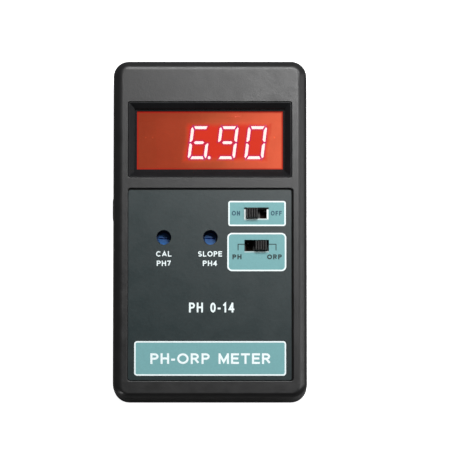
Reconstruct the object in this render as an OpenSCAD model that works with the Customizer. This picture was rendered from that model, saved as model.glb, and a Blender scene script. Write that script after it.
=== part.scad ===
// Handheld pH and redox meter: a flat two-part case with a red LED display behind
// a tinted window, a label plate with two slide switches and two trimmers, a
// recessed probe socket, a power jack and a battery bay with a sliding door.
// The meter lies on its back: X is its width, Y its length towards the probe
// socket, and Z the outward normal of the front face. The origin is the centre
// of the back face. Sizes are in millimetres.

/* [Case] */
// Width of the case
case_w = 72.5; // [71.5:0.5:76]
// Length of the case
case_l = 126.5; // [126:0.5:128]
// Thickness of the case from back face to front face
case_t = 27; // [26.5:0.5:30]
// Radius of the four corners seen from the front
corner_r = 6; // [5.5:0.5:7]
// Thickness of the side and end walls
wall = 2.4; // [2.2:0.1:2.6]
// Thickness of the front wall
front_wall = 2.5; // [2.4:0.1:2.8]
// Thickness of the back wall
back_wall = 2.2; // [2:0.1:2.4]
// Width of the sloped border around the front face
front_slope_w = 2.8; // [2.4:0.1:3]
// Angle of that border below the front face, in degrees
front_slope_angle = 35; // [30:1:40]
// Radius that joins the sloped border to the side walls
front_edge_r = 2.2; // [1.8:0.1:2.4]
// Rounding of the back edge
back_edge_r = 3; // [2:0.5:3.5]

/* [Display] */
// Outer width of the display bezel
bezel_w = 61; // [60:0.5:62]
// Outer height of the display bezel
bezel_l = 28.4; // [28:0.2:29]
// Middle of the bezel along the case
bezel_y = 33.3; // [33:0.1:33.6]
// Width of the bezel's sloped ring
bezel_slope_w = 2; // [1.6:0.1:2.2]
// Width of the visible window
window_w = 54.4; // [53:0.2:55]
// Height of the visible window
window_l = 21.6; // [21:0.2:22]
// Depth of the filter's face below the front face
window_depth = 3.1; // [2.9:0.1:3.2]
// Height of one digit
digit_h = 12.6; // [12:0.1:12.8]
// Width of one digit over its outer segments
digit_w = 7.3; // [7:0.1:7.4]
// Distance from digit to digit
digit_pitch = 10.6; // [10.4:0.1:10.8]
// Width of a segment
segment_w = 1.3; // [1.2:0.1:1.5]
// Lean of the digits, in degrees
digit_slant = 7; // [4:1:9]
// First digit shown, where 10 is blank
digit_1 = 10; // [0:1:10]
// Second digit shown, which always carries the decimal point
digit_2 = 6; // [0:1:10]
// Third digit shown
digit_3 = 9; // [0:1:10]
// Fourth digit shown
digit_4 = 0; // [0:1:10]

/* [Front label] */
// Width of the label plate
label_w = 60.6; // [60:0.1:62]
// Length of the label plate
label_l = 70.9; // [70.5:0.1:71.5]
// Thickness of the label plate
label_t = 0.5; // [0.4:0.1:0.6]
// Depth of the recess that holds the label
label_recess = 0.8; // [0.7:0.1:0.9]
// Gap between the bottom edge of the case and the label plate
label_margin = 6.75; // [6.5:0.05:7]

/* [Controls] */
// Place of the power switch across the case
power_x = 17.3; // [17:0.1:17.6]
// Place of the power switch along the case
power_y = 5.7; // [5.5:0.1:6]
// Place of the mode switch across the case
mode_x = 17.4; // [17:0.1:17.6]
// Place of the mode switch along the case
mode_y = -6.4; // [-6.6:0.1:-6.2]
// Length of a switch slot
slot_w = 9.1; // [8.8:0.1:9.4]
// Width of a switch slot
slot_l = 4.3; // [4.1:0.1:4.5]
// Travel of a switch knob
switch_travel = 3.2; // [2.6:0.1:3.4]
// Length of a switch knob along its travel
knob_w = 4.4; // [4:0.1:4.6]
// Width of a switch knob across its travel
knob_l = 3.6; // [3.4:0.1:3.7]
// Height of a knob above the front face
knob_proud = 1.5; // [0.5:0.1:1.5]
// Place of the calibration trimmer across the case
cal_x = -17.1; // [-17.4:0.1:-16.8]
// Place of the slope trimmer across the case
slope_x = 0.2; // [0:0.1:0.4]
// Place of both trimmers along the case
trimmer_y = -3.3; // [-3.5:0.05:-3]
// Diameter of a trimmer access hole
trimmer_hole_d = 5.5; // [5.2:0.1:5.6]

/* [Probe socket] */
// Place of the probe socket across the case
socket_x = 9.1; // [8.8:0.1:9.4]
// Outer diameter of the recessed cup
cup_d = 19; // [18.6:0.1:19.2]
// Inner diameter of the recessed cup
cup_bore_d = 16.5; // [16.2:0.1:16.8]
// Depth of the recessed cup
cup_depth = 12.5; // [12.3:0.1:12.6]

/* [Power] */
// Place of the power jack along the case
jack_y = 9; // [8.8:0.1:9.2]
// Width of the battery door
door_w = 56; // [54:0.5:56.5]
// Length of the battery door
door_l = 33.25; // [33:0.05:33.5]
// Length of the battery body
battery_l = 46.4; // [46:0.1:46.6]
// Width of the battery
battery_w = 26.5; // [26:0.1:26.7]
// Thickness of the battery
battery_t = 17.5; // [17:0.1:17.7]

/* [Hidden] */

// Smoothness of round features
fine = 64;
small = 32;
// Amount by which a cutter runs past the face it cuts
over = 1;
// Gap between pieces that are assembled side by side
gap = 0.1;
// Radial gap of a shaft that turns or slides in a hole
running_gap = 0.05;

// Heights of the case
split_z = case_t - 14;
front_inner_z = case_t - front_wall;
label_seat_z = case_t - label_recess;
label_top_z = label_seat_z + label_t;
inner_w = case_w - 2 * wall;
inner_l = case_l - 2 * wall;
inner_r = corner_r - wall;

// Lip of the rear case that enters the front case
lip_h = 1.2;
lip_t = wall / 2 - gap;

// Label plate
label_y = -case_l / 2 + label_margin + label_l / 2;
label_corner_r = 0.8;
label_groove = 0.2;

// Display stack
filter_t = 1.5;
filter_front_z = case_t - window_depth;
filter_back_z = filter_front_z - filter_t;
ledge_t = 0.6;
bezel_front_z = case_t - gap;
bezel_body_w = bezel_w - 2 * gap;
bezel_body_l = bezel_l - 2 * gap;
bezel_rim = 0.35;
bezel_slope_depth = 1.6;
bezel_flange_t = 1;
bezel_flange_w = 1.6;
well_w = bezel_body_w - 2 * bezel_rim - 2 * bezel_slope_w;
well_l = bezel_body_l - 2 * bezel_rim - 2 * bezel_slope_w;
window_corner_r = 0.8;
module_w = 4 * digit_pitch;
module_l = 18;
module_t = 7;
module_x = 1.2;
module_y = 32.7;
module_front_z = filter_back_z - gap;
segment_t = 0.5;
segment_gap = 0.28;
point_d = 1.35;
point_gap = 0.9;
display_pin_count = 14;

// Circuit board
board_t = 1.6;
board_front_z = case_t - 12.5;
board_rear_z = board_front_z - board_t;
board_half_w = 31;
board_low_y = -20;
board_high_y = 41.5;
lead_tail = 0.7;
hole_slack = 0.12;
pin_pitch = 2.54;
pin_side = 0.5;
row_offset = 7.62;
board_screw_places = [[-28, 0.5], [28, 14], [-26, -16], [26, -16]];
board_screw_r = 1.25;
board_screw_l = 7.6;
board_screw_head_r = 2.4;
board_screw_head_t = 1.6;
board_hole_r = 1.45;
board_boss_r = 2.75;
board_pilot_depth = 7;

// Case screws
case_screw_places = [[-28.5, 56.5], [28.5, 56.5], [-30, -25], [30, -25]];
case_screw_r = 1.45;
case_screw_head_r = 2.8;
case_screw_head_t = 2.2;
case_screw_seat_z = 8;
case_screw_end_z = 20;
rear_boss_r = 4;
rear_boss_low_z = 1;
front_boss_r = 3.5;

// Slide switches, measured from the board
switch_w = 13;
switch_l = 6.8;
switch_sheet_t = 0.4;
switch_top_z = front_inner_z - 2.2;
switch_base_low_z = board_front_z + 1.8;
switch_base_t = 1.6;
switch_pin_pitch = 3.2;
switch_pin_row = 1.65;
switch_pin_side = 0.6;
slider_w = 6;
slider_t = 3;
slider_clearance = 0.2;
window_slack = 0.3;
rib_count = 4;
rib_cutter = 0.56;
knob_corner_r = 0.3;
// Margin by which the case's openings clear the label's
control_margin = 0.4;

// Trimmers
trimmer_side = 7;
trimmer_top_z = board_front_z + 6.2;
trimmer_foot_h = 0.7;
trimmer_foot = 1.4;
trimmer_pin_places = [[-2.54, -1.27], [0, 1.27], [2.54, -1.27]];
rotor_r = 2.2;
rotor_depth = 1.8;
rotor_proud = 0.5;

// Probe socket, an axis along Y
socket_z = split_z;
cup_floor_t = 1.5;
cup_floor_y = case_l / 2 - cup_depth;
cup_collar_w = 1;
cup_collar_l = 2.4;
shell_tip_y = case_l / 2 + 0.2;
shell_r = 4.85;
shell_body_r = 4.65;
shell_mouth_r = 4.1;
shell_mouth_l = 3;
shell_bore_r = 3.9;
shell_bore_floor_y = cup_floor_y + 2.5;
shell_chamfer = 0.4;
flange_r = 5.6;
flange_t = 1.5;
lug_r = 0.95;
lug_reach = 5.6;
lug_y = shell_tip_y - 3.6;
barrel_r = 4.75;
barrel_l = 7.8;
insulator_r = 2.4;
insulator_front_y = case_l / 2 - 3;
contact_r = 1.05;
contact_front_y = insulator_front_y - 0.4;
contact_tail_y = cup_floor_y - barrel_l - 1.2;
contact_bore_r = 0.7;
contact_bore_l = 6;
nut_r = 7.3;
nut_t = 2;
washer_r = 6.8;
washer_t = 0.8;

// Power jack, an axis along X
jack_l = 11;
jack_w = 9;
jack_h = 10;
jack_nose_r = 4;
jack_mouth_r = 3.4;
jack_mouth_l = 1.6;
jack_bore_r = 3.2;
jack_pin_r = 1;
jack_pin_root_r = 1.3;
jack_tip_x = -case_w / 2 - 0.3;
jack_floor_x = jack_tip_x + 12;
jack_x = -inner_w / 2 + 2 * gap;
jack_terminal_places = [[5, -2.5], [5, 2.5], [9.6, 0]];
jack_z = board_rear_z - jack_h / 2;

// Battery bay
battery_x = -27.5;
battery_y = -45.25;
battery_low_z = 3.6;
battery_mid_z = battery_low_z + battery_t / 2;
terminal_spacing = 12.7;
terminal_h = 2.1;
plus_r = 2.9;
minus_r = 4;
snap_t = 3.5;
door_t = back_wall;
door_inner_t = 1;
door_rail_w = 1.2;
door_hook_half_w = 10;
door_hook_l = 1.4;
door_y = -case_l / 2 + door_l;
bay_wall_t = 1.5;
bay_wall_y = door_y + 1.6;
lead_notch_x = 23.3;
lead_notch_w = 2.6;
lead_notch_low_z = 7.8;
lead_r = 0.7;
lead_run_x = 24.6;
lead_end_y = board_low_y + 1;
red_start = [-41, 14];
red_run_z = board_rear_z - 2.1;
red_end_x = 20.5;
black_start = [-46, 12.4];
black_run_z = board_rear_z - 4.1;
black_end_x = 18;

// Converter chip in its socket behind the board
converter_x = 0;
converter_y = 28;
converter_count = 20;
converter_w = 51;
converter_l = 13.6;
socket_rail_h = 4.2;
socket_rail_w = 2.4;
socket_bar_h = 1.8;
chip_t = 3.7;
chip_high_z = board_rear_z - socket_rail_h - 0.5;

// Amplifier chip and voltage regulator behind the board
amplifier_x = -8.5;
amplifier_y = -6;
amplifier_w = 9.8;
amplifier_l = 6.4;
amplifier_row = 3.81;
amplifier_low_z = board_rear_z - 4.2;
amplifier_high_z = board_rear_z - 0.7;
regulator_x = 11.5;
regulator_y = -14;
regulator_r = 2.4;
regulator_h = 4.8;
regulator_stand = 2;
regulator_pitch = 1.27;

// Capacitors behind the board
electrolytic_places = [[3.5, -14], [-5, -15], [-14.5, -14]];
electrolytic_r = 3.15;
electrolytic_h = 8.5;
electrolytic_pitch = 2.5;
film_places = [[-18, 9.5], [-10, 9.5], [-2, 9.5], [6, 9.5]];
film_w = 3.5;
film_l = 7.2;
film_h = 6.5;
film_pitch = 5;
lead_stand = 1;

// Row of resistors on the front of the board
resistor_count = 7;
resistor_x = -20;
resistor_pitch = 4;
resistor_y = 13.5;
resistor_r = 1.15;
resistor_l = 6.3;
resistor_span = 10.16;
resistor_z = board_front_z + 1.4;

// Which of the segments a to g are lit for the digits 0 to 9 and for a blank
SEGMENT_MAP = [
  [1, 1, 1, 1, 1, 1, 0],
  [0, 1, 1, 0, 0, 0, 0],
  [1, 1, 0, 1, 1, 0, 1],
  [1, 1, 1, 1, 0, 0, 1],
  [0, 1, 1, 0, 0, 1, 1],
  [1, 0, 1, 1, 0, 1, 1],
  [1, 0, 1, 1, 1, 1, 1],
  [1, 1, 1, 0, 0, 0, 0],
  [1, 1, 1, 1, 1, 1, 1],
  [1, 1, 1, 1, 0, 1, 1],
  [0, 0, 0, 0, 0, 0, 0]
];
reading = [digit_1, digit_2, digit_3, digit_4];
point_digit = 1;

// ---------------------------------------------------------------- shared shapes

// Flat rounded rectangle about the origin
module rounded_rect(w, l, r) {
  square([w, l - 2 * r], center = true);
  square([w - 2 * r, l], center = true);
  for (x = [-1, 1], y = [-1, 1])
    translate([x * (w / 2 - r), y * (l / 2 - r)])
      circle(r, $fn = fine);
}

// Block with rounded upright edges between two heights
module rounded_block(w, l, r, low_z, high_z) {
  translate([0, 0, low_z])
    linear_extrude(high_z - low_z)
      rounded_rect(w, l, r);
}

// Box given by its lowest corner and its highest corner
module box(low, high) {
  translate(low)
    cube(high - low);
}

// Puts children, drawn about Z, on an axis that runs towards +Y
module along_y(x, y, z) {
  translate([x, y, z])
    rotate([-90, 0, 0])
      children();
}

// Puts children, drawn about Z, on an axis that runs towards +X
module along_x(x, y, z) {
  translate([x, y, z])
    rotate([0, 90, 0])
      children();
}

// Sweeps an edge profile, drawn outwards from the corner centre, around the case
module swept_case(low_z, high_z) {
  straight_w = case_w - 2 * corner_r;
  straight_l = case_l - 2 * corner_r;
  for (turn = [0:3]) {
    side_x = (turn == 0 || turn == 3) ? 1 : -1;
    side_y = turn < 2 ? 1 : -1;
    translate([side_x * straight_w / 2, side_y * straight_l / 2, 0])
      rotate([0, 0, turn * 90])
        rotate_extrude(angle = 90, $fn = fine)
          children();
  }
  for (side = [-1, 1]) {
    translate([side * straight_w / 2, 0, 0])
      rotate([90, 0, side > 0 ? 0 : 180])
        linear_extrude(straight_l, center = true)
          children();
    translate([0, side * straight_l / 2, 0])
      rotate([90, 0, side * 90])
        linear_extrude(straight_w, center = true)
          children();
  }
  box([-straight_w / 2, -straight_l / 2, low_z], [straight_w / 2, straight_l / 2, high_z]);
}

// Round wire or cable through a list of points
module wire(points, r) {
  for (i = [0:len(points) - 2]) {
    step = points[i + 1] - points[i];
    length = norm(step);
    translate(points[i])
      rotate([0, acos(step[2] / length), atan2(step[1], step[0])])
        cylinder(r = r, h = length, $fn = small);
  }
  if (len(points) > 2)
    for (i = [1:len(points) - 2])
      translate(points[i])
        sphere(r, $fn = small);
}

// Screw with a cross recess; the head sits below z 0 and the shank runs up
module screw(shank_r, shank_l, head_r, head_t) {
  recess_l = head_r * 1.1;
  recess_w = head_r * 0.22;
  recess_depth = head_t * 0.6;
  difference() {
    union() {
      cylinder(r = shank_r, h = shank_l, $fn = small);
      translate([0, 0, -head_t])
        cylinder(r = head_r, h = head_t, $fn = fine);
    }
    for (a = [0, 90])
      rotate([0, 0, a])
        translate([-recess_l / 2, -recess_w / 2, -head_t - over])
          cube([recess_l, recess_w, recess_depth + over]);
  }
}

// ------------------------------------------------------------------------- case

// Edge of the front half: a sloped border that rolls over into the side wall
module front_edge() {
  arc_z = case_t - (front_slope_w - front_edge_r * (1 - sin(front_slope_angle)))
    * tan(front_slope_angle) - front_edge_r * cos(front_slope_angle);
  arc_x = corner_r - front_edge_r;
  steps = 10;
  arc_end = 90 - front_slope_angle;
  roll = [for (i = [0:steps])
    [arc_x + front_edge_r * cos(arc_end * i / steps), arc_z + front_edge_r * sin(arc_end * i / steps)]];
  flat = [[corner_r - front_slope_w, case_t], [0, case_t]];
  polygon(concat([[0, split_z], [corner_r, split_z]], roll, flat));
}

// Edge of the rear half: a plain quarter round
module rear_edge() {
  translate([0, back_edge_r])
    square([corner_r, split_z - back_edge_r]);
  square([corner_r - back_edge_r, split_z]);
  translate([corner_r - back_edge_r, back_edge_r])
    circle(back_edge_r, $fn = fine);
}

// Hole for the probe socket's cup, through the end wall at the split
module cup_cutter() {
  along_y(socket_x, inner_l / 2 - over, socket_z)
    cylinder(d = cup_d + 2 * gap, h = wall + 2 * over, $fn = fine);
}

// Openings over the controls, wider than the label's by a margin
module control_cutters(margin, low_z, high_z) {
  for (place = [[power_x, power_y], [mode_x, mode_y]])
    translate([place[0], place[1], low_z])
      linear_extrude(high_z - low_z)
        square([slot_w + 2 * margin, slot_l + 2 * margin], center = true);
  for (x = [cal_x, slope_x])
    translate([x, trimmer_y, low_z])
      cylinder(d = trimmer_hole_d + 2 * margin, h = high_z - low_z, $fn = fine);
}

module front_case() {
  pilot_r = case_screw_r + running_gap;
  pilot_end_z = case_screw_end_z + 1;
  color("dimgray")
    difference() {
      union() {
        difference() {
          swept_case(split_z, case_t)
            front_edge();
          rounded_block(inner_w, inner_l, inner_r, split_z - over, front_inner_z);
          rounded_block(case_w - wall, case_l - wall, corner_r - wall / 2, split_z - over,
            split_z + lip_h + gap);
        }
        for (place = case_screw_places)
          translate([place[0], place[1], split_z])
            cylinder(r = front_boss_r, h = front_inner_z - split_z + gap, $fn = fine);
        for (place = board_screw_places)
          translate([place[0], place[1], board_front_z])
            cylinder(r = board_boss_r, h = front_inner_z - board_front_z + gap, $fn = fine);
      }
      translate([0, bezel_y, 0])
        rounded_block(bezel_w, bezel_l, window_corner_r, front_inner_z - over, case_t + over);
      translate([0, label_y, 0])
        rounded_block(label_w + 2 * label_groove, label_l + 2 * label_groove, label_corner_r + label_groove,
          label_seat_z, case_t + over);
      control_cutters(control_margin, front_inner_z - over, case_t + over);
      cup_cutter();
      for (place = case_screw_places)
        translate([place[0], place[1], split_z - over])
          cylinder(r = pilot_r, h = pilot_end_z - split_z + over, $fn = small);
      for (place = board_screw_places)
        translate([place[0], place[1], board_front_z - over])
          cylinder(r = board_screw_r + running_gap, h = board_pilot_depth + over, $fn = small);
    }
}

// Space that the battery door slides through, grown on every side
module door_space(grow) {
  outer_half_w = door_w / 2 + grow;
  inner_half_w = outer_half_w + door_rail_w;
  low_y = -case_l / 2 - over;
  box([-outer_half_w, low_y, -over], [outer_half_w, door_y + grow, door_t + grow]);
  box([-inner_half_w, low_y, door_t - grow], [inner_half_w, door_y + grow, door_t + door_inner_t + grow]);
}

module rear_case() {
  bore_r = 1.7;
  counterbore_r = case_screw_head_r + 0.3;
  lip_w = inner_w + 2 * lip_t;
  lip_l = inner_l + 2 * lip_t;
  bay_wall_end_y = bay_wall_y + bay_wall_t;
  color("#2b2b2d")
    difference() {
      union() {
        difference() {
          swept_case(0, split_z)
            rear_edge();
          rounded_block(inner_w, inner_l, inner_r, back_wall, split_z + over);
        }
        difference() {
          rounded_block(lip_w, lip_l, inner_r + lip_t, split_z - over, split_z + lip_h);
          rounded_block(inner_w, inner_l, inner_r, split_z - 2 * over, split_z + lip_h + over);
        }
        for (place = case_screw_places)
          translate([place[0], place[1], rear_boss_low_z])
            cylinder(r = rear_boss_r, h = split_z - rear_boss_low_z - gap, $fn = fine);
        box([-inner_w / 2 - gap, bay_wall_y, back_wall - gap],
          [inner_w / 2 + gap, bay_wall_end_y, split_z - gap]);
      }
      for (place = case_screw_places)
        translate([place[0], place[1], 0]) {
          translate([0, 0, -over])
            cylinder(r = bore_r, h = split_z + 2 * over, $fn = small);
          translate([0, 0, -over])
            cylinder(r = counterbore_r, h = case_screw_seat_z + over, $fn = fine);
        }
      cup_cutter();
      along_x(-case_w / 2 - over, jack_y, jack_z)
        cylinder(r = jack_nose_r + gap, h = wall + 2 * over, $fn = fine);
      door_space(gap);
      box([lead_notch_x, bay_wall_y - over, lead_notch_low_z],
        [lead_notch_x + lead_notch_w, bay_wall_end_y + over, split_z]);
      box([-door_hook_half_w - gap, door_y - over, door_t],
        [door_hook_half_w + gap, door_y + door_hook_l + gap, door_t + door_inner_t + gap]);
    }
}

module case_screws() {
  color("#8f9296")
    for (place = case_screw_places)
      translate([place[0], place[1], case_screw_seat_z])
        screw(case_screw_r, case_screw_end_z - case_screw_seat_z, case_screw_head_r, case_screw_head_t);
}

// Printed plate with openings for the controls, set in the front recess
module front_label() {
  color("darkslategray")
    difference() {
      translate([0, label_y, 0])
        rounded_block(label_w, label_l, label_corner_r, label_seat_z, label_top_z);
      control_cutters(0, label_seat_z - over, label_top_z + over);
    }
}

// ---------------------------------------------------------------------- display

// Opening whose four walls lean inwards from the front face
module sloped_opening(w, l, inset, low_z, high_z) {
  rise = high_z - low_z;
  intersection() {
    rotate([90, 0, 0])
      linear_extrude(l + 2, center = true)
        polygon([[-w / 2 + inset, low_z], [w / 2 - inset, low_z], [w / 2, high_z], [w / 2, high_z + rise],
          [-w / 2, high_z + rise], [-w / 2, high_z]]);
    rotate([90, 0, 90])
      linear_extrude(w + 2, center = true)
        polygon([[-l / 2 + inset, low_z], [l / 2 - inset, low_z], [l / 2, high_z], [l / 2, high_z + rise],
          [-l / 2, high_z + rise], [-l / 2, high_z]]);
  }
}

module display_bezel() {
  flange_z = front_inner_z - gap;
  ledge_z = filter_front_z + ledge_t;
  slope_low_z = bezel_front_z - bezel_slope_depth;
  color("#1b1e22")
    translate([0, bezel_y, 0])
      difference() {
        union() {
          rounded_block(bezel_body_w, bezel_body_l, window_corner_r, filter_back_z, bezel_front_z);
          rounded_block(bezel_body_w + 2 * bezel_flange_w, bezel_body_l + 2 * bezel_flange_w,
            window_corner_r + 1, flange_z - bezel_flange_t, flange_z);
        }
        sloped_opening(bezel_body_w - 2 * bezel_rim, bezel_body_l - 2 * bezel_rim, bezel_slope_w, slope_low_z,
          bezel_front_z);
        rounded_block(well_w, well_l, window_corner_r, ledge_z, slope_low_z + 0.01);
        rounded_block(window_w, window_l, window_corner_r, filter_front_z - over, ledge_z + over);
        rounded_block(well_w + 2 * gap, well_l + 2 * gap, window_corner_r, filter_back_z - over,
          filter_front_z);
      }
}

module window_filter() {
  color("red", 0.6)
    translate([0, bezel_y, 0])
      rounded_block(well_w, well_l, window_corner_r, filter_back_z, filter_front_z);
}

// Moves a point of an upright digit to where it lies on the leaning digit
function lean(p) = [p[0] + p[1] * tan(digit_slant), p[1]];

// Outline of segment n (0 to 6 are a to g) of a digit about the origin
function segment_outline(n) =
  let (
    half_w = digit_w / 2,
    half_h = digit_h / 2,
    t = segment_w,
    g = segment_gap,
    bar = [[-half_w + t * 0.55 + g, 0], [half_w - t * 0.55 - g, 0],
      [half_w - t - g, -t], [-half_w + t + g, -t]],
    post = [[0, half_h - t * 0.45 - g], [0, g * 0.9], [-t * 0.5, g * 0.6],
      [-t, t * 0.5 + g], [-t, half_h - t - g], [-t * 0.45, half_h - g]],
    middle = [[-half_w + t + g, 0], [-half_w + t * 1.5 + g, t / 2], [half_w - t * 1.5 - g, t / 2],
      [half_w - t - g, 0], [half_w - t * 1.5 - g, -t / 2], [-half_w + t * 1.5 + g, -t / 2]]
  )
  n == 0 ? [for (p = bar) [p[0], half_h + p[1]]] :
  n == 1 ? [for (p = post) [half_w + p[0], p[1]]] :
  n == 2 ? [for (p = post) [half_w + p[0], -p[1]]] :
  n == 3 ? [for (p = bar) [p[0], -half_h - p[1]]] :
  n == 4 ? [for (p = post) [-half_w - p[0], -p[1]]] :
  n == 5 ? [for (p = post) [-half_w - p[0], p[1]]] :
  middle;

// Segments of the whole display in one state: 1 for lit, 0 for unlit
module segments(state, t) {
  point_x = digit_w / 2 + point_gap - digit_h / 2 * tan(digit_slant);
  for (i = [0:3])
    translate([module_x + (i - 1.5) * digit_pitch, module_y, module_front_z - segment_t]) {
      for (n = [0:6])
        if (SEGMENT_MAP[reading[i]][n] == state)
          linear_extrude(t)
            polygon([for (p = segment_outline(n)) lean(p)]);
      if ((i == point_digit ? 1 : 0) == state)
        translate([point_x, -digit_h / 2 + point_d / 2, 0])
          cylinder(d = point_d, h = t, $fn = small);
    }
}

module display_module() {
  color("#3a2320")
    difference() {
      translate([module_x, module_y, 0])
        box([-module_w / 2, -module_l / 2, module_front_z - module_t],
          [module_w / 2, module_l / 2, module_front_z]);
      segments(0, segment_t + over);
      segments(1, segment_t + over);
    }
}

module display_segments_lit() {
  color("white")
    segments(1, segment_t);
}

module display_segments_unlit() {
  color("#8a5048")
    segments(0, segment_t);
}

// Rows of square pins about a place on the board, from one height to another
module pin_rows(x, y, count, pitch, row_offset, side, low_z, high_z) {
  for (i = [0:count - 1], row = [-1, 1])
    translate([x + (i - (count - 1) / 2) * pitch, y + row * row_offset, (low_z + high_z) / 2])
      cube([side, side, high_z - low_z], center = true);
}

module display_pin_set(slack) {
  pin_rows(module_x, module_y, display_pin_count, pin_pitch, row_offset, pin_side + slack,
    board_rear_z - lead_tail, module_front_z - module_t);
}

module display_pins() {
  color("silver")
    display_pin_set(0);
}

// ------------------------------------------------------------------------ board

module all_lead_holes() {
  display_pin_set(2 * hole_slack);
  switch_terminal_set(power_x, power_y, 2 * hole_slack);
  switch_terminal_set(mode_x, mode_y, 2 * hole_slack);
  trimmer_pin_set(2 * hole_slack);
  converter_pin_set(2 * hole_slack);
  amplifier_leg_blades(2 * hole_slack);
  regulator_leg_set(2 * hole_slack);
  capacitor_lead_set(2 * hole_slack);
  resistor_tails(2 * hole_slack);
  jack_terminal_set(2 * hole_slack);
}

module main_board() {
  color("darkgreen")
    difference() {
      box([-board_half_w, board_low_y, board_rear_z], [board_half_w, board_high_y, board_front_z]);
      for (place = board_screw_places)
        translate([place[0], place[1], board_rear_z - over])
          cylinder(r = board_hole_r, h = board_t + 2 * over, $fn = small);
      all_lead_holes();
    }
}

module board_screws() {
  color("silver")
    for (place = board_screw_places)
      translate([place[0], place[1], board_rear_z])
        screw(board_screw_r, board_screw_l, board_screw_head_r, board_screw_head_t);
}

// --------------------------------------------------------------------- switches

// Bent steel frame with a window for the knob
module switch_frame(x, y) {
  low_z = switch_base_low_z;
  sheet_low_z = switch_top_z - switch_sheet_t;
  color("#d8d8d4")
    translate([x, y, 0])
      difference() {
        union() {
          box([-switch_w / 2, -switch_l / 2, sheet_low_z], [switch_w / 2, switch_l / 2, switch_top_z]);
          for (side = [-1, 1])
            translate([0, side * (switch_l - switch_sheet_t) / 2, (low_z + switch_top_z) / 2])
              cube([switch_w - 2, switch_sheet_t, switch_top_z - low_z], center = true);
        }
        translate([0, 0, sheet_low_z - over])
          linear_extrude(switch_sheet_t + 2 * over)
            square([knob_w + switch_travel + 2 * window_slack, knob_l + window_slack], center = true);
      }
}

// Insulating base that carries the terminals
module switch_base(x, y) {
  base_w = switch_w - 2.4;
  base_l = switch_l - 2 * switch_sheet_t - 2 * gap;
  high_z = switch_base_low_z + switch_base_t;
  color("#6b4a2e")
    translate([x, y, 0])
      difference() {
        box([-base_w / 2, -base_l / 2, switch_base_low_z], [base_w / 2, base_l / 2, high_z]);
        translate([-x, -y, 0])
          switch_terminal_set(x, y, 0);
      }
}

// Six flat terminals in two rows of three
module switch_terminal_set(x, y, slack) {
  pin_rows(x, y, 3, switch_pin_pitch, switch_pin_row, switch_pin_side + slack, board_rear_z - lead_tail,
    switch_base_low_z + switch_base_t);
}

// Sliding block with a ribbed knob; offset is its place along the slot at rest
module switch_knob(x, y, offset) {
  block_low_z = switch_base_low_z + switch_base_t + slider_clearance;
  block_high_z = min(block_low_z + slider_t, switch_top_z - switch_sheet_t - gap);
  block_l = switch_l - 2 * switch_sheet_t - 4 * gap;
  top_z = case_t + knob_proud;
  pitch = knob_w / rib_count;
  color("#151515")
    translate([x + offset, y, 0])
      difference() {
        union() {
          box([-slider_w / 2, -block_l / 2, block_low_z], [slider_w / 2, block_l / 2, block_high_z]);
          rounded_block(knob_w, knob_l, knob_corner_r, block_high_z - gap, top_z);
        }
        for (i = [1:rib_count - 1])
          translate([(i - rib_count / 2) * pitch, 0, top_z])
            rotate([0, 45, 0])
              cube([rib_cutter, knob_l + over, rib_cutter], center = true);
      }
}

module power_switch_frame() {
  switch_frame(power_x, power_y);
}

module power_switch_base() {
  switch_base(power_x, power_y);
}

module power_switch_terminals() {
  color("silver")
    switch_terminal_set(power_x, power_y, 0);
}

// The power knob rests at the left, which is on
module power_switch_knob() {
  switch_knob(power_x, power_y, -switch_travel / 2);
}

module mode_switch_frame() {
  switch_frame(mode_x, mode_y);
}

module mode_switch_base() {
  switch_base(mode_x, mode_y);
}

module mode_switch_terminals() {
  color("silver")
    switch_terminal_set(mode_x, mode_y, 0);
}

// The mode knob rests at the right
module mode_switch_knob() {
  switch_knob(mode_x, mode_y, switch_travel / 2);
}

// --------------------------------------------------------------------- trimmers

// Square body with a round seat for the rotor, on four feet
module trimmer_body(x) {
  low_z = board_front_z + trimmer_foot_h;
  corner_radius = 0.4;
  foot_place = (trimmer_side - trimmer_foot) / 2;
  color("#2358a8")
    translate([x, trimmer_y, 0])
      difference() {
        union() {
          rounded_block(trimmer_side, trimmer_side, corner_radius, low_z, trimmer_top_z);
          for (i = [-1, 1], j = [-1, 1])
            translate([i * foot_place, j * foot_place, board_front_z + trimmer_foot_h / 2 + gap])
              cube([trimmer_foot, trimmer_foot, trimmer_foot_h], center = true);
        }
        translate([0, 0, trimmer_top_z - rotor_depth])
          cylinder(r = rotor_r + running_gap, h = rotor_depth + over, $fn = fine);
      }
}

// Round adjuster with a screwdriver slot
module trimmer_rotor(x) {
  slot = 0.7;
  slot_depth = 1;
  top_z = trimmer_top_z + rotor_proud;
  color("#3f7fd0")
    translate([x, trimmer_y, 0])
      difference() {
        translate([0, 0, trimmer_top_z - rotor_depth + running_gap])
          cylinder(r = rotor_r, h = rotor_depth + rotor_proud - running_gap, $fn = fine);
        translate([-rotor_r * 0.8, -slot / 2, top_z - slot_depth])
          cube([rotor_r * 1.6, slot, slot_depth + over]);
      }
}

// Three square pins under each trimmer
module trimmer_pin_set(slack) {
  low_z = board_rear_z - lead_tail;
  high_z = board_front_z + trimmer_foot_h;
  for (x = [cal_x, slope_x], place = trimmer_pin_places)
    translate([x + place[0], trimmer_y + place[1], (low_z + high_z) / 2])
      cube([pin_side + slack, pin_side + slack, high_z - low_z], center = true);
}

module cal_trimmer_body() {
  trimmer_body(cal_x);
}

module cal_trimmer_rotor() {
  trimmer_rotor(cal_x);
}

module slope_trimmer_body() {
  trimmer_body(slope_x);
}

module slope_trimmer_rotor() {
  trimmer_rotor(slope_x);
}

module trimmer_pins() {
  color("silver")
    trimmer_pin_set(0);
}

// ----------------------------------------------------------------- probe socket

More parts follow.
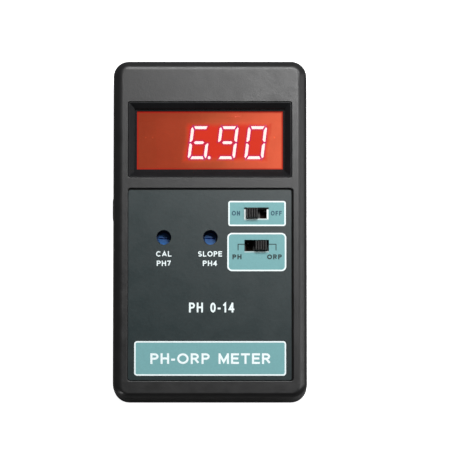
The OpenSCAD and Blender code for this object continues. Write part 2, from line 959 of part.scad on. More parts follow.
// Round cup with a collar that hooks behind the end wall
module socket_cup() {
  back_y = cup_floor_y - cup_floor_t;
  color("#202022")
    difference() {
      union() {
        along_y(socket_x, back_y, socket_z)
          cylinder(d = cup_d, h = cup_depth + cup_floor_t, $fn = fine);
        along_y(socket_x, inner_l / 2 - gap - cup_collar_l, socket_z)
          cylinder(d = cup_d + 2 * cup_collar_w, h = cup_collar_l, $fn = fine);
      }
      along_y(socket_x, cup_floor_y, socket_z)
        cylinder(d = cup_bore_d, h = cup_depth + over, $fn = fine);
      along_y(socket_x, back_y - over, socket_z)
        cylinder(r = barrel_r + running_gap, h = cup_floor_t + 2 * over, $fn = fine);
    }
}

// Plated body: a barrel behind the cup's floor, a flange, a relieved stretch up
// to the two bayonet lugs and a round pilot in front of them
module probe_socket_shell() {
  body_y = cup_floor_y + flange_t;
  pilot_y = lug_y + lug_r + running_gap;
  color("#c9ccd0")
    difference() {
      union() {
        along_y(socket_x, cup_floor_y - barrel_l, socket_z)
          cylinder(r = barrel_r, h = barrel_l, $fn = fine);
        along_y(socket_x, cup_floor_y, socket_z)
          cylinder(r = flange_r, h = flange_t, $fn = fine);
        along_y(socket_x, body_y, socket_z)
          cylinder(r = shell_body_r, h = pilot_y - body_y, $fn = fine);
        along_y(socket_x, pilot_y, socket_z)
          cylinder(r = shell_r, h = shell_tip_y - pilot_y - shell_chamfer, $fn = fine);
        along_y(socket_x, shell_tip_y - shell_chamfer, socket_z)
          cylinder(r1 = shell_r, r2 = shell_r - shell_chamfer, h = shell_chamfer, $fn = fine);
        along_x(socket_x - lug_reach, lug_y, socket_z)
          cylinder(r = lug_r, h = 2 * lug_reach, $fn = small);
      }
      along_y(socket_x, shell_tip_y - shell_mouth_l, socket_z)
        cylinder(r = shell_mouth_r, h = shell_mouth_l + over, $fn = fine);
      along_y(socket_x, shell_bore_floor_y, socket_z)
        cylinder(r = shell_bore_r, h = shell_tip_y - shell_bore_floor_y, $fn = fine);
      along_y(socket_x, cup_floor_y - barrel_l - over, socket_z)
        cylinder(r = insulator_r + running_gap, h = shell_tip_y - cup_floor_y + barrel_l, $fn = fine);
    }
}

module probe_socket_insulator() {
  back_y = cup_floor_y - barrel_l;
  color("ivory")
    difference() {
      along_y(socket_x, back_y, socket_z)
        cylinder(r = insulator_r, h = insulator_front_y - back_y, $fn = fine);
      along_y(socket_x, back_y - over, socket_z)
        cylinder(r = contact_r + running_gap, h = insulator_front_y - back_y + 2 * over, $fn = small);
    }
}

// Hollow centre contact with a solder tail
module probe_socket_contact() {
  color("gold")
    difference() {
      along_y(socket_x, contact_tail_y, socket_z)
        cylinder(r = contact_r, h = contact_front_y - contact_tail_y, $fn = small);
      along_y(socket_x, contact_front_y - contact_bore_l, socket_z)
        cylinder(r = contact_bore_r, h = contact_bore_l + over, $fn = small);
    }
}

module probe_socket_washer() {
  color("silver")
    along_y(socket_x, cup_floor_y - cup_floor_t - washer_t, socket_z)
      difference() {
        cylinder(r = washer_r, h = washer_t, $fn = fine);
        translate([0, 0, -over])
          cylinder(r = barrel_r + running_gap, h = washer_t + 2 * over, $fn = fine);
      }
}

module probe_socket_nut() {
  color("silver")
    along_y(socket_x, cup_floor_y - cup_floor_t - washer_t - nut_t, socket_z)
      difference() {
        cylinder(r = nut_r, h = nut_t, $fn = 6);
        translate([0, 0, -over])
          cylinder(r = barrel_r + running_gap, h = nut_t + 2 * over, $fn = fine);
      }
}

// Wire from below the contact's solder tail to the back of the board
module probe_wire() {
  start = [socket_x, contact_tail_y + 0.6, socket_z - contact_r - lead_r];
  drop_z = board_rear_z - 2.4;
  land_y = contact_tail_y - 4.2;
  color("dimgray")
    wire([start, [socket_x, contact_tail_y, drop_z], [socket_x, land_y, drop_z],
      [socket_x, land_y, board_rear_z]], lead_r);
}

// ------------------------------------------------------------------- power jack

// Block with a round nose through the side wall, and a bore with a wider mouth
module power_jack_body() {
  color("#1c1c1e")
    difference() {
      union() {
        box([jack_x, jack_y - jack_w / 2, board_rear_z - jack_h],
          [jack_x + jack_l, jack_y + jack_w / 2, board_rear_z]);
        along_x(jack_tip_x, jack_y, jack_z)
          cylinder(r = jack_nose_r, h = jack_x - jack_tip_x + gap, $fn = fine);
      }
      along_x(jack_tip_x - over, jack_y, jack_z)
        cylinder(r = jack_mouth_r, h = jack_mouth_l + over, $fn = fine);
      along_x(jack_tip_x, jack_y, jack_z)
        cylinder(r = jack_bore_r, h = jack_floor_x - jack_tip_x, $fn = fine);
      along_x(jack_tip_x, jack_y, jack_z)
        cylinder(r = jack_pin_root_r + running_gap, h = jack_x + jack_l + over - jack_tip_x, $fn = small);
    }
}

// Centre pin with a thicker root that sits in the jack's back wall
module power_jack_pin() {
  tip_x = jack_tip_x + jack_mouth_l + gap;
  color("#c9ccd0") {
    along_x(tip_x, jack_y, jack_z)
      cylinder(r = jack_pin_r, h = jack_floor_x - tip_x, $fn = small);
    along_x(jack_floor_x, jack_y, jack_z)
      cylinder(r = jack_pin_root_r, h = jack_x + jack_l - jack_floor_x, $fn = small);
  }
}

module jack_terminal_set(slack) {
  low_z = board_rear_z;
  high_z = board_front_z + lead_tail;
  for (place = jack_terminal_places)
    translate([jack_x + place[0], jack_y + place[1], (low_z + high_z) / 2])
      cube([0.8 + slack, 1.6 + slack, high_z - low_z], center = true);
}

module power_jack_terminals() {
  color("silver")
    jack_terminal_set(0);
}

// ------------------------------------------------------------------ electronics

// Body of a dual in-line chip with a half-round notch at one end
module chip_body(x, y, w, l, low_z, high_z) {
  notch_r = 1.2;
  color("#222222")
    difference() {
      box([x - w / 2, y - l / 2, low_z], [x + w / 2, y + l / 2, high_z]);
      translate([x - w / 2, y, low_z - over])
        cylinder(r = notch_r, h = 1.4, $fn = small);
    }
}

// Legs of a chip: a shoulder beside the body and a blade up towards the board
module chip_legs(x, y, count, row, body_l, body_mid_z, tip_z, slack) {
  blade_w = 0.5;
  blade_t = 0.3;
  shoulder = row - body_l / 2 + blade_t / 2;
  for (i = [0:count - 1], side = [-1, 1])
    translate([x + (i - (count - 1) / 2) * pin_pitch, y, 0]) {
      translate([0, side * (body_l / 2 + shoulder / 2), body_mid_z])
        cube([blade_w, shoulder, blade_t], center = true);
      translate([0, side * row, (body_mid_z - blade_t / 2 + tip_z) / 2])
        cube([blade_w + slack, blade_t + slack, tip_z - body_mid_z + blade_t / 2], center = true);
    }
}

module converter_chip() {
  chip_body(converter_x, converter_y, converter_w, converter_l, chip_high_z - chip_t, chip_high_z);
}

module converter_leg_set(slack) {
  chip_legs(converter_x, converter_y, converter_count, row_offset, converter_l, chip_high_z - chip_t / 2,
    board_rear_z - socket_rail_h / 2, slack);
}

module converter_chip_legs() {
  color("silver")
    converter_leg_set(0);
}

// Socket with two rails and three cross bars
module converter_socket() {
  rail_low_z = board_rear_z - socket_rail_h;
  bar_w = 2.4;
  color("#19191b")
    difference() {
      union() {
        for (side = [-1, 1])
          translate([converter_x, converter_y + side * row_offset, rail_low_z + socket_rail_h / 2])
            cube([converter_w, socket_rail_w, socket_rail_h], center = true);
        for (place = [-1, 0, 1])
          translate([converter_x + place * (converter_w - bar_w) / 2, converter_y,
            rail_low_z + socket_bar_h / 2])
            cube([bar_w, 2 * row_offset, socket_bar_h], center = true);
      }
      converter_leg_set(2 * hole_slack);
    }
}

module converter_pin_set(slack) {
  pin_rows(converter_x, converter_y, converter_count, pin_pitch, row_offset, pin_side + slack,
    board_rear_z, board_front_z + lead_tail);
}

module converter_socket_pins() {
  color("gold")
    converter_pin_set(0);
}

module amplifier_chip() {
  chip_body(amplifier_x, amplifier_y, amplifier_w, amplifier_l, amplifier_low_z, amplifier_high_z);
}

module amplifier_leg_blades(slack) {
  chip_legs(amplifier_x, amplifier_y, 4, amplifier_row, amplifier_l, (amplifier_low_z + amplifier_high_z) / 2,
    board_front_z + lead_tail, slack);
}

module amplifier_chip_legs() {
  color("silver")
    amplifier_leg_blades(0);
}

// Small regulator with one flat face
module voltage_regulator() {
  r = regulator_r;
  color("#222222")
    translate([regulator_x, regulator_y, board_rear_z - regulator_stand - regulator_h])
      difference() {
        cylinder(r = r, h = regulator_h, $fn = fine);
        translate([-r - over, r * 0.55, -over])
          cube([2 * (r + over), r, regulator_h + 2 * over]);
      }
}

module regulator_leg_set(slack) {
  low_z = board_rear_z - regulator_stand;
  high_z = board_front_z + lead_tail;
  side = 0.45 + slack;
  for (i = [-1:1])
    translate([regulator_x + i * regulator_pitch, regulator_y, (low_z + high_z) / 2])
      cube([side, side, high_z - low_z], center = true);
}

module voltage_regulator_legs() {
  color("silver")
    regulator_leg_set(0);
}

// Sleeved cans with a groove near the foot
module electrolytic_capacitors() {
  groove_w = 0.6;
  groove_depth = 0.3;
  groove_z = electrolytic_h - 1.6;
  color("#26408f")
    for (place = electrolytic_places)
      translate([place[0], place[1], board_rear_z - lead_stand - electrolytic_h])
        difference() {
          cylinder(r = electrolytic_r, h = electrolytic_h, $fn = fine);
          translate([0, 0, groove_z])
            difference() {
              cylinder(r = electrolytic_r + over, h = groove_w, $fn = fine);
              translate([0, 0, -over])
                cylinder(r = electrolytic_r - groove_depth, h = groove_w + 2 * over, $fn = fine);
            }
        }
}

module film_capacitors() {
  color("#b8452f")
    for (place = film_places)
      translate([place[0], place[1], 0])
        rounded_block(film_w, film_l, 0.6, board_rear_z - lead_stand - film_h, board_rear_z - lead_stand);
}

// Two leads for each capacitor, from its foot through the board
module capacitor_lead_set(slack) {
  high_z = board_front_z + lead_tail;
  low_z = board_rear_z - lead_stand;
  lead = pin_side + slack;
  for (place = electrolytic_places, side = [-1, 1])
    translate([place[0] + side * electrolytic_pitch / 2, place[1], (low_z + high_z) / 2])
      cube([lead, lead, high_z - low_z], center = true);
  for (place = film_places, side = [-1, 1])
    translate([place[0], place[1] + side * film_pitch / 2, (low_z + high_z) / 2])
      cube([lead, lead, high_z - low_z], center = true);
}

module capacitor_leads() {
  color("silver")
    capacitor_lead_set(0);
}

// A dog-bone body: a barrel with a swollen cap at each end
module resistors() {
  cap_l = 1.4;
  cap_r = resistor_r + 0.15;
  color("#c9a877")
    for (i = [0:resistor_count - 1])
      along_y(resistor_x + i * resistor_pitch, resistor_y - resistor_l / 2, resistor_z) {
        cylinder(r = resistor_r, h = resistor_l, $fn = small);
        for (place = [0, resistor_l - cap_l])
          translate([0, 0, place])
            cylinder(r = cap_r, h = cap_l, $fn = small);
      }
}

// The upright ends of the resistor leads, which pass through the board
module resistor_tails(slack) {
  low_z = board_rear_z - lead_tail;
  mid_z = (low_z + resistor_z) / 2;
  lead = pin_side + slack;
  for (i = [0:resistor_count - 1], side = [-1, 1])
    translate([resistor_x + i * resistor_pitch, resistor_y + side * resistor_span / 2, mid_z])
      cube([lead, lead, resistor_z - low_z], center = true);
}

module resistor_leads() {
  arm = (resistor_span - resistor_l + pin_side) / 2;
  color("silver") {
    resistor_tails(0);
    for (i = [0:resistor_count - 1], side = [-1, 1])
      translate([resistor_x + i * resistor_pitch, resistor_y + side * (resistor_l + arm) / 2, resistor_z])
        cube([pin_side, arm, pin_side], center = true);
  }
}

// ---------------------------------------------------------------------- battery

module battery() {
  color("#3c4248")
    along_x(battery_x, battery_y, battery_mid_z)
      linear_extrude(battery_l)
        rounded_rect(battery_t, battery_w, 2.4);
}

// Round plus terminal and a crown-shaped minus terminal
module battery_terminals() {
  x = battery_x + battery_l;
  color("silver") {
    along_x(x, battery_y + terminal_spacing / 2, battery_mid_z)
      cylinder(r = plus_r, h = terminal_h, $fn = fine);
    along_x(x, battery_y - terminal_spacing / 2, battery_mid_z)
      difference() {
        cylinder(r = minus_r, h = terminal_h, $fn = 6);
        translate([0, 0, 0.6])
          cylinder(r = plus_r, h = terminal_h, $fn = fine);
      }
  }
}

module battery_snap() {
  x = battery_x + battery_l + 2 * gap;
  snap_w = 12;
  snap_l = 24;
  color("#1a1a1a")
    difference() {
      along_x(x, battery_y, battery_mid_z)
        linear_extrude(snap_t)
          rounded_rect(snap_w, snap_l, 2);
      along_x(x - over, battery_y + terminal_spacing / 2, battery_mid_z)
        cylinder(r = plus_r + gap, h = terminal_h + over, $fn = fine);
      along_x(x - over, battery_y - terminal_spacing / 2, battery_mid_z)
        cylinder(r = minus_r + gap, h = terminal_h + over, $fn = fine);
    }
}

// Lead from the snap, through the bay wall's notch and up to the back of the board
module battery_lead(start, run_z, end_x) {
  start_x = battery_x + battery_l + 2 * gap + snap_t;
  wire([[start_x, start[0], start[1]], [lead_run_x, start[0], start[1]], [lead_run_x, start[0], run_z],
    [lead_run_x, lead_end_y, run_z], [end_x, lead_end_y, run_z], [end_x, lead_end_y, board_rear_z]], lead_r);
}

module battery_lead_red() {
  color("red")
    battery_lead(red_start, red_run_z, red_end_x);
}

module battery_lead_black() {
  color("black")
    battery_lead(black_start, black_run_z, black_end_x);
}

// Foam pad between the battery and the front wall
module battery_pad() {
  pad_w = 34;
  pad_l = 20;
  pad_r = 2;
  low_z = battery_low_z + battery_t + gap;
  color("#4a4a4e")
    translate([battery_x + battery_l / 2, battery_y, 0])
      rounded_block(pad_w, pad_l, pad_r, low_z, front_inner_z - gap);
}

// Sliding door: its outer plate follows the case's back edge, its inner plate
// runs behind the edges of the opening, and a flat hook enters a slot at the end
module battery_door() {
  hook_half_w = door_hook_half_w - gap;
  inner_half_w = door_w / 2 + door_rail_w;
  inner_high_z = door_t + door_inner_t;
  end_y = -case_l / 2;
  grip_count = 5;
  grip_pitch = 2.2;
  grip_y = end_y + 9;
  grip_half_w = 8;
  grip_half_l = 0.6;
  grip_depth = 0.8;
  color("#2b2b2d")
    difference() {
      union() {
        intersection() {
          swept_case(0, split_z)
            rear_edge();
          union() {
            box([-door_w / 2, end_y - over, -over], [door_w / 2, door_y, door_t + gap]);
            box([-inner_half_w, end_y - over, door_t], [inner_half_w, door_y, inner_high_z]);
          }
        }
        box([-hook_half_w, door_y - over, door_t + gap], [hook_half_w, door_y + door_hook_l, inner_high_z]);
      }
      for (i = [0:grip_count - 1])
        translate([0, grip_y + i * grip_pitch, 0])
          box([-grip_half_w, -grip_half_l, -over], [grip_half_w, grip_half_l, grip_depth]);
    }
}

// --------------------------------------------------------------------- drawing

front_case();
rear_case();
display_bezel();
window_filter();
front_label();
case_screws();
display_module();
display_segments_lit();
display_segments_unlit();
display_pins();
main_board();
board_screws();
power_switch_frame();
power_switch_base();
power_switch_terminals();
power_switch_knob();
mode_switch_frame();
mode_switch_base();
mode_switch_terminals();
mode_switch_knob();
cal_trimmer_body();
cal_trimmer_rotor();
slope_trimmer_body();
slope_trimmer_rotor();
trimmer_pins();
socket_cup();
probe_socket_shell();
probe_socket_insulator();
probe_socket_contact();
probe_socket_washer();
probe_socket_nut();
probe_wire();
power_jack_body();
power_jack_pin();
power_jack_terminals();
converter_chip();
converter_chip_legs();
converter_socket();
converter_socket_pins();
amplifier_chip();
amplifier_chip_legs();
voltage_regulator();
voltage_regulator_legs();
electrolytic_capacitors();
film_capacitors();
capacitor_leads();
resistors();
resistor_leads();
battery();
battery_terminals();
battery_snap();
battery_lead_red();
battery_lead_black();
battery_pad();
battery_door();
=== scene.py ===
import math

import bmesh
import bpy
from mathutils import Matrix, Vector
from mathutils.geometry import tessellate_polygon


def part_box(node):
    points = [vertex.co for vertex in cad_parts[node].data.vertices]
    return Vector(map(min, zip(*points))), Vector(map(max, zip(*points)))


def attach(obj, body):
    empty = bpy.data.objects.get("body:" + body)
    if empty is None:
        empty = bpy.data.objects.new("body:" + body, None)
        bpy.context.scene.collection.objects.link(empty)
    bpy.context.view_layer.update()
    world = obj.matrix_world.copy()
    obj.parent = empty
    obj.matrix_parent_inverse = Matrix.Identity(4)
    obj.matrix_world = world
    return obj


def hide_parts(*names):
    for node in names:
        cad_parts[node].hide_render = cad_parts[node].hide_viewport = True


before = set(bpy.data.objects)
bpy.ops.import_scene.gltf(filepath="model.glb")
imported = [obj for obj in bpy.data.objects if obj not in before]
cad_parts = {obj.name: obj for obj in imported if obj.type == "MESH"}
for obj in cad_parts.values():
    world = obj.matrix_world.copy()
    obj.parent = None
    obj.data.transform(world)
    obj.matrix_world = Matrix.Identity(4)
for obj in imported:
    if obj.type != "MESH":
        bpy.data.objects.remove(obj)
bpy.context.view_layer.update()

# Looks of a handheld pH meter that lies on its back. Lengths are in metres, in the
# frame of the CAD model: X is the width, Y the length towards the probe socket and
# Z the outward normal of the front face.

MM = 0.001
CASE = "case"


# ------------------------------------------------------------------ measures from the frame

def centre_of(node):
    low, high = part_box(node)
    return (low + high) / 2


FRONT_LOW, FRONT_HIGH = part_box("front_case")
HALF_W = FRONT_HIGH.x
HALF_L = FRONT_HIGH.y
FACE_Z = FRONT_HIGH.z
SEAM_Z = FRONT_LOW.z
LABEL_LOW, LABEL_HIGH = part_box("front_label")
FILTER_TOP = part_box("window_filter")[1].z
BEZEL_LOW, BEZEL_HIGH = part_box("display_bezel")
BEZEL_MID = (BEZEL_LOW + BEZEL_HIGH) / 2
LIT_LOW, LIT_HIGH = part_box("display_segments_lit")
CUP_MID = centre_of("socket_cup")

# Design sizes of the case, the same as in the CAD source
CORNER_R = 6 * MM
WALL = 2.4 * MM
FRONT_WALL = 2.5 * MM
LABEL_RECESS = 0.8 * MM
DRAFT = 0.3 * MM
GAP = 0.1 * MM
BEZEL_W = 61 * MM
BEZEL_L = 28.4 * MM
BEZEL_BODY_W = BEZEL_W - 2 * GAP
BEZEL_BODY_L = BEZEL_L - 2 * GAP
LEDGE_T = 0.6 * MM
BLOCK_T = 3 * MM
SLOT_W = 9.1 * MM
SLOT_L = 4.3 * MM
TRIMMER_HOLE_R = 2.75 * MM
CONTROL_MARGIN = 0.4 * MM
WINDOW_W = 54.4 * MM
WINDOW_L = BEZEL_BODY_L - (BEZEL_BODY_W - WINDOW_W)
CUP_HOLE_R = 9.6 * MM
DIGIT_SLANT = math.radians(7)

WINDOW_LOW = BEZEL_MID - Vector((WINDOW_W, WINDOW_L, 0)) / 2
WINDOW_HIGH = BEZEL_MID + Vector((WINDOW_W, WINDOW_L, 0)) / 2
POWER_MID = centre_of("power_switch_frame")
MODE_MID = centre_of("mode_switch_frame")
CAL_MID = centre_of("cal_trimmer_rotor")
SLOPE_MID = centre_of("slope_trimmer_rotor")


# ------------------------------------------------------------------------- mesh helpers

def rounded_outline(width, length, radius, centre=(0, 0), steps=10):
    """Points of a rounded rectangle, anticlockwise, with each corner as an arc."""
    points = []
    radius = max(radius, 0.02 * MM)
    for turn in range(4):
        sign_x = 1 if turn in (0, 3) else -1
        sign_y = 1 if turn < 2 else -1
        corner_x = centre[0] + sign_x * (width / 2 - radius)
        corner_y = centre[1] + sign_y * (length / 2 - radius)
        for i in range(steps + 1):
            angle = math.pi / 2 * (turn + i / steps)
            points.append((corner_x + radius * math.cos(angle), corner_y + radius * math.sin(angle)))
    return points


def circle_outline(radius, centre, steps=64):
    return [(centre[0] + radius * math.cos(2 * math.pi * i / steps),
             centre[1] + radius * math.sin(2 * math.pi * i / steps)) for i in range(steps)]


class Shape:
    """A mesh made of rings, strips between rings and flat caps with holes."""

    def __init__(self):
        self.mesh = bmesh.new()

    def ring(self, points, z):
        return [self.mesh.verts.new((x, y, z)) for x, y in points]

    def ring_3d(self, points):
        return [self.mesh.verts.new(p) for p in points]

    def strip(self, first, second):
        count = len(first)
        for i in range(count):
            j = (i + 1) % count
            self.mesh.faces.new((first[i], first[j], second[j], second[i]))

    def strips(self, rings, closed=False):
        for first, second in zip(rings, rings[1:]):
            self.strip(first, second)
        if closed:
            self.strip(rings[-1], rings[0])

    def cap(self, outer, holes=()):
        loops = [outer] + list(holes)
        flat = [v for loop in loops for v in loop]
        for tri in tessellate_polygon([[v.co for v in loop] for loop in loops]):
            if len(set(tri)) == 3:
                corners = [flat[i] for i in tri]
                if not self.mesh.faces.get(corners):
                    self.mesh.faces.new(corners)

    def finish(self, name, sharp_degrees=35, weighted=True):
        bmesh.ops.recalc_face_normals(self.mesh, faces=self.mesh.faces)
        data = bpy.data.meshes.new(name)
        self.mesh.to_mesh(data)
        self.mesh.free()
        return add_piece(name, data, sharp_degrees, weighted)


def add_piece(name, data, sharp_degrees=35, weighted=True):
    piece = bpy.data.objects.new(name, data)
    bpy.context.scene.collection.objects.link(piece)
    smooth(piece, sharp_degrees, weighted)
    return piece


def smooth(piece, sharp_degrees=35, weighted=True):
    """Smooth shading with sharp edges above an angle, and normals that follow the large faces."""
    data = piece.data
    data.polygons.foreach_set("use_smooth", [True] * len(data.polygons))
    data.set_sharp_from_angle(angle=math.radians(sharp_degrees))
    if weighted and "weighted" not in piece.modifiers:
        modifier = piece.modifiers.new("weighted", "WEIGHTED_NORMAL")
        modifier.keep_sharp = True
        modifier.weight = 60


def apply_boolean(piece, cutter, operation):
    """Cuts or joins one closed mesh with another, and removes the second."""
    modifier = piece.modifiers.new("boolean", "BOOLEAN")
    modifier.operation = operation
    modifier.solver = "EXACT"
    modifier.object = cutter
    graph = bpy.context.evaluated_depsgraph_get()
    data = bpy.data.meshes.new_from_object(piece.evaluated_get(graph))
    piece.modifiers.remove(modifier)
    old = piece.data
    piece.data = data
    bpy.data.meshes.remove(old)
    bpy.data.objects.remove(cutter)


def cylinder_between(start, end, radius, steps):
    """A closed cylinder between two points, used as a cutter or a boss."""
    axis = (Vector(end) - Vector(start)).normalized()
    side = axis.orthogonal().normalized()
    up = axis.cross(side)
    shape = Shape()
    angles = [2 * math.pi * i / steps for i in range(steps)]
    spokes = [radius * (math.cos(a) * side + math.sin(a) * up) for a in angles]
    rings = [shape.ring_3d([Vector(place) + spoke for spoke in spokes]) for place in (start, end)]
    shape.strips(rings)
    shape.cap(rings[0])
    shape.cap(rings[1])
    return shape.finish("cutter", weighted=False)


def corner_arc(corner, before, after, radius, steps=4):
    """Points that round the corner of a 2D profile between two neighbours."""
    corner, before, after = Vector(corner), Vector(before), Vector(after)
    a = (before - corner).normalized()
    b = (after - corner).normalized()
    half = math.acos(max(-1, min(1, a.dot(b)))) / 2
    reach = min(radius / math.tan(half), 0.48 * (before - corner).length, 0.48 * (after - corner).length)
    real_radius = reach * math.tan(half)
    middle = corner + (a + b).normalized() * (real_radius / math.sin(half))
    start, end = corner + a * reach, corner + b * reach
    u, v = start - middle, end - middle
    sweep = math.pi - 2 * half
    points = []
    for i in range(steps + 1):
        t = i / steps
        w = (math.sin((1 - t) * sweep) * u + math.sin(t * sweep) * v) / math.sin(sweep)
        points.append(tuple(middle + w))
    return points


def rounded_profile(points, closed=False):
    """Rounds each (x, z, radius) corner of a profile; a radius of 0 keeps it sharp."""
    result = []
    count = len(points)
    for i, (x, z, radius) in enumerate(points):
        inner = closed or 0 < i < count - 1
        if radius > 0 and inner:
            before, after = points[i - 1][:2], points[(i + 1) % count][:2]
            result += corner_arc((x, z), before, after, radius)
        else:
            result.append((x, z))
    return result


def lofted(name, profile, width, length, radius, centre, cap_first=False, cap_last=False, closed=False,
           sharp_degrees=35):
    """Sweeps a profile of (inset, z) around a rounded rectangle."""
    shape = Shape()
    rings = []
    for inset, z in profile:
        outline = rounded_outline(width - 2 * inset, length - 2 * inset, radius - inset, centre)
        rings.append(shape.ring(outline, z))
    shape.strips(rings, closed)
    if cap_first:
        shape.cap(rings[0])
    if cap_last:
        shape.cap(rings[-1])
    return shape.finish(name, sharp_degrees)


# -------------------------------------------------------------------------- materials

class Look:
    """A node material about a Principled shader, in object coordinates in metres."""

    def __init__(self, name, color, roughness, metallic=0.0, specular=0.5):
        self.material = bpy.data.materials.new(name)
        self.material.use_nodes = True
        self.tree = self.material.node_tree
        self.shader = self.tree.nodes["Principled BSDF"]
        self.shader.inputs["Base Color"].default_value = (*color, 1)
        self.shader.inputs["Roughness"].default_value = roughness
        self.shader.inputs["Metallic"].default_value = metallic
        self.shader.inputs["Specular IOR Level"].default_value = specular
        self.color = color
        self.place = self.tree.nodes.new("ShaderNodeTexCoord").outputs["Object"]

    def node(self, kind, **values):
        made = self.tree.nodes.new(kind)
        for key, value in values.items():
            setattr(made, key, value)
        return made

    def link(self, source, target):
        self.tree.links.new(source, target)

    def axes(self):
        """The object coordinates, each on its own."""
        made = self.node("ShaderNodeSeparateXYZ")
        self.link(self.place, made.inputs["Vector"])
        return made.outputs

    def calculate(self, operation, *values):
        """Result of a math node whose inputs are numbers or other nodes' results."""
        made = self.node("ShaderNodeMath", operation=operation)
        for socket, value in zip(made.inputs, values):
            if isinstance(value, (int, float)):
                socket.default_value = value
            else:
                self.link(value, socket)
        return made.outputs["Value"]

    def blend(self, share, color, other):
        """A colour that turns into another, fixed one by a share."""
        made = self.node("ShaderNodeMixRGB")
        made.inputs["Color2"].default_value = (*other, 1)
        self.link(share, made.inputs["Fac"])
        self.link(color, made.inputs["Color1"])
        return made.outputs["Color"]

    def see_through(self, share, clear_color=(1, 1, 1)):
        """Mixes the shader with a transparent one; a share of 1 shows the shader only."""
        clear = self.node("ShaderNodeBsdfTransparent")
        clear.inputs["Color"].default_value = (*clear_color, 1)
        mix = self.node("ShaderNodeMixShader")
        if isinstance(share, (int, float)):
            mix.inputs["Fac"].default_value = share
        else:
            self.link(share, mix.inputs["Fac"])
        self.link(clear.outputs["BSDF"], mix.inputs[1])
        self.link(self.shader.outputs["BSDF"], mix.inputs[2])
        self.link(mix.outputs["Shader"], self.tree.nodes["Material Output"].inputs["Surface"])

    def noise(self, size, detail=4.0, roughness=0.6, stretch=(1, 1, 1)):
        """Noise whose features are about size across, in metres."""
        mapping = self.node("ShaderNodeMapping")
        mapping.inputs["Scale"].default_value = stretch
        self.link(self.place, mapping.inputs["Vector"])
        made = self.node("ShaderNodeTexNoise")
        made.inputs["Scale"].default_value = 1 / size
        made.inputs["Detail"].default_value = detail
        made.inputs["Roughness"].default_value = roughness
        self.link(mapping.outputs["Vector"], made.inputs["Vector"])
        return made.outputs["Fac"]

    def ramp(self, source, stops):
        made = self.node("ShaderNodeValToRGB")
        elements = made.color_ramp.elements
        while len(elements) < len(stops):
            elements.new(0.5)
        for element, (place, color) in zip(elements, stops):
            element.position = place
            element.color = (*color, 1)
        self.link(source, made.inputs["Fac"])
        return made.outputs["Color"]

    def remap(self, source, low, high, to_low, to_high):
        made = self.node("ShaderNodeMapRange")
        for socket, value in zip(("From Min", "From Max", "To Min", "To Max"), (low, high, to_low, to_high)):
            made.inputs[socket].default_value = value
        self.link(source, made.inputs["Value"])
        return made.outputs["Result"]

    def vary_color(self, source, dark, light):
        """Base colour that runs between two multiples of itself."""
        stops = [(0.3, [c * dark for c in self.color]), (0.7, [c * light for c in self.color])]
        self.link(self.ramp(source, stops), self.shader.inputs["Base Color"])

    def vary_roughness(self, source, low, high):
        self.link(self.remap(source, 0.3, 0.7, low, high), self.shader.inputs["Roughness"])

    def bump(self, source, height, strength=1.0):
        made = self.node("ShaderNodeBump")
        made.inputs["Strength"].default_value = strength
        made.inputs["Distance"].default_value = height
        self.link(source, made.inputs["Height"])
        previous = self.shader.inputs["Normal"].links
        if previous:
            self.link(previous[0].from_socket, made.inputs["Normal"])
        self.link(made.outputs["Normal"], self.shader.inputs["Normal"])


def moulded_plastic(name, color, roughness, grain=0.45 * MM, depth=0.02 * MM, specular=0.5):
    """Injection-moulded plastic: a fine spark-eroded grain, faint flow marks and handling wear."""
    look = Look(name, color, roughness, specular=specular)
    look.bump(look.noise(grain, 3.0), depth, 0.7)
    look.bump(look.noise(grain * 3, 3.0), depth * 2, 0.55)
    look.vary_color(look.noise(9 * MM, 5.0, 0.65, (1, 0.6, 1)), 0.86, 1.16)
    look.vary_roughness(look.noise(5 * MM, 6.0, 0.7), roughness - 0.05, roughness + 0.06)
    return look.material


def knob_plastic(block_z):
    """Satin black grip over a sliding block painted lighter grey: painted light that stands in for light
    down in the switch well.
    """
    look = Look("knob_plastic", (0.012, 0.011, 0.011), 0.4)
    look.bump(look.noise(0.3 * MM, 3.0), 0.01 * MM, 0.7)
    look.vary_roughness(look.noise(5 * MM, 6.0, 0.7), 0.35, 0.46)
    height = look.remap(look.axes()["Z"], block_z, block_z + 0.4 * MM, 0.0, 1.0)
    block_light_and_mottle = look.calculate("ADD", height, look.remap(look.noise(0.8 * MM, 4.0), 0.3, 0.7, -0.1, 0.1))
    # The block's grey is painted light; the noise on it is random mottle.
    stops = [(0.0, (0.1, 0.1, 0.1)), (0.3, (0.07, 0.068, 0.068)), (1.0, look.color)]
    look.link(look.ramp(block_light_and_mottle, stops), look.shader.inputs["Base Color"])
    return look.material


def plain_metal(name, color, roughness, brush=(1, 1, 1)):
    """Plated or bare metal with fine drawing marks and small changes in shine."""
    look = Look(name, color, roughness, metallic=1.0)
    look.bump(look.noise(0.12 * MM, 2.0, 0.5, brush), 0.004 * MM, 0.5)
    look.vary_color(look.noise(1.5 * MM, 4.0), 0.85, 1.08)
    look.vary_roughness(look.noise(0.8 * MM, 5.0), roughness * 0.75, roughness * 1.3)
    return look.material


def glossy_plastic(name, color, roughness, coat=0.0):
    """Smooth plastic or lacquer, with a clear coat if one is asked for."""
    look = Look(name, color, roughness)
    look.shader.inputs["Coat Weight"].default_value = coat
    look.bump(look.noise(1.2 * MM, 3.0), 0.008 * MM, 0.4)
    look.vary_color(look.noise(2.5 * MM, 4.0), 0.85, 1.12)
    look.vary_roughness(look.noise(1.5 * MM, 4.0), roughness * 0.8, roughness * 1.3)
    return look.material


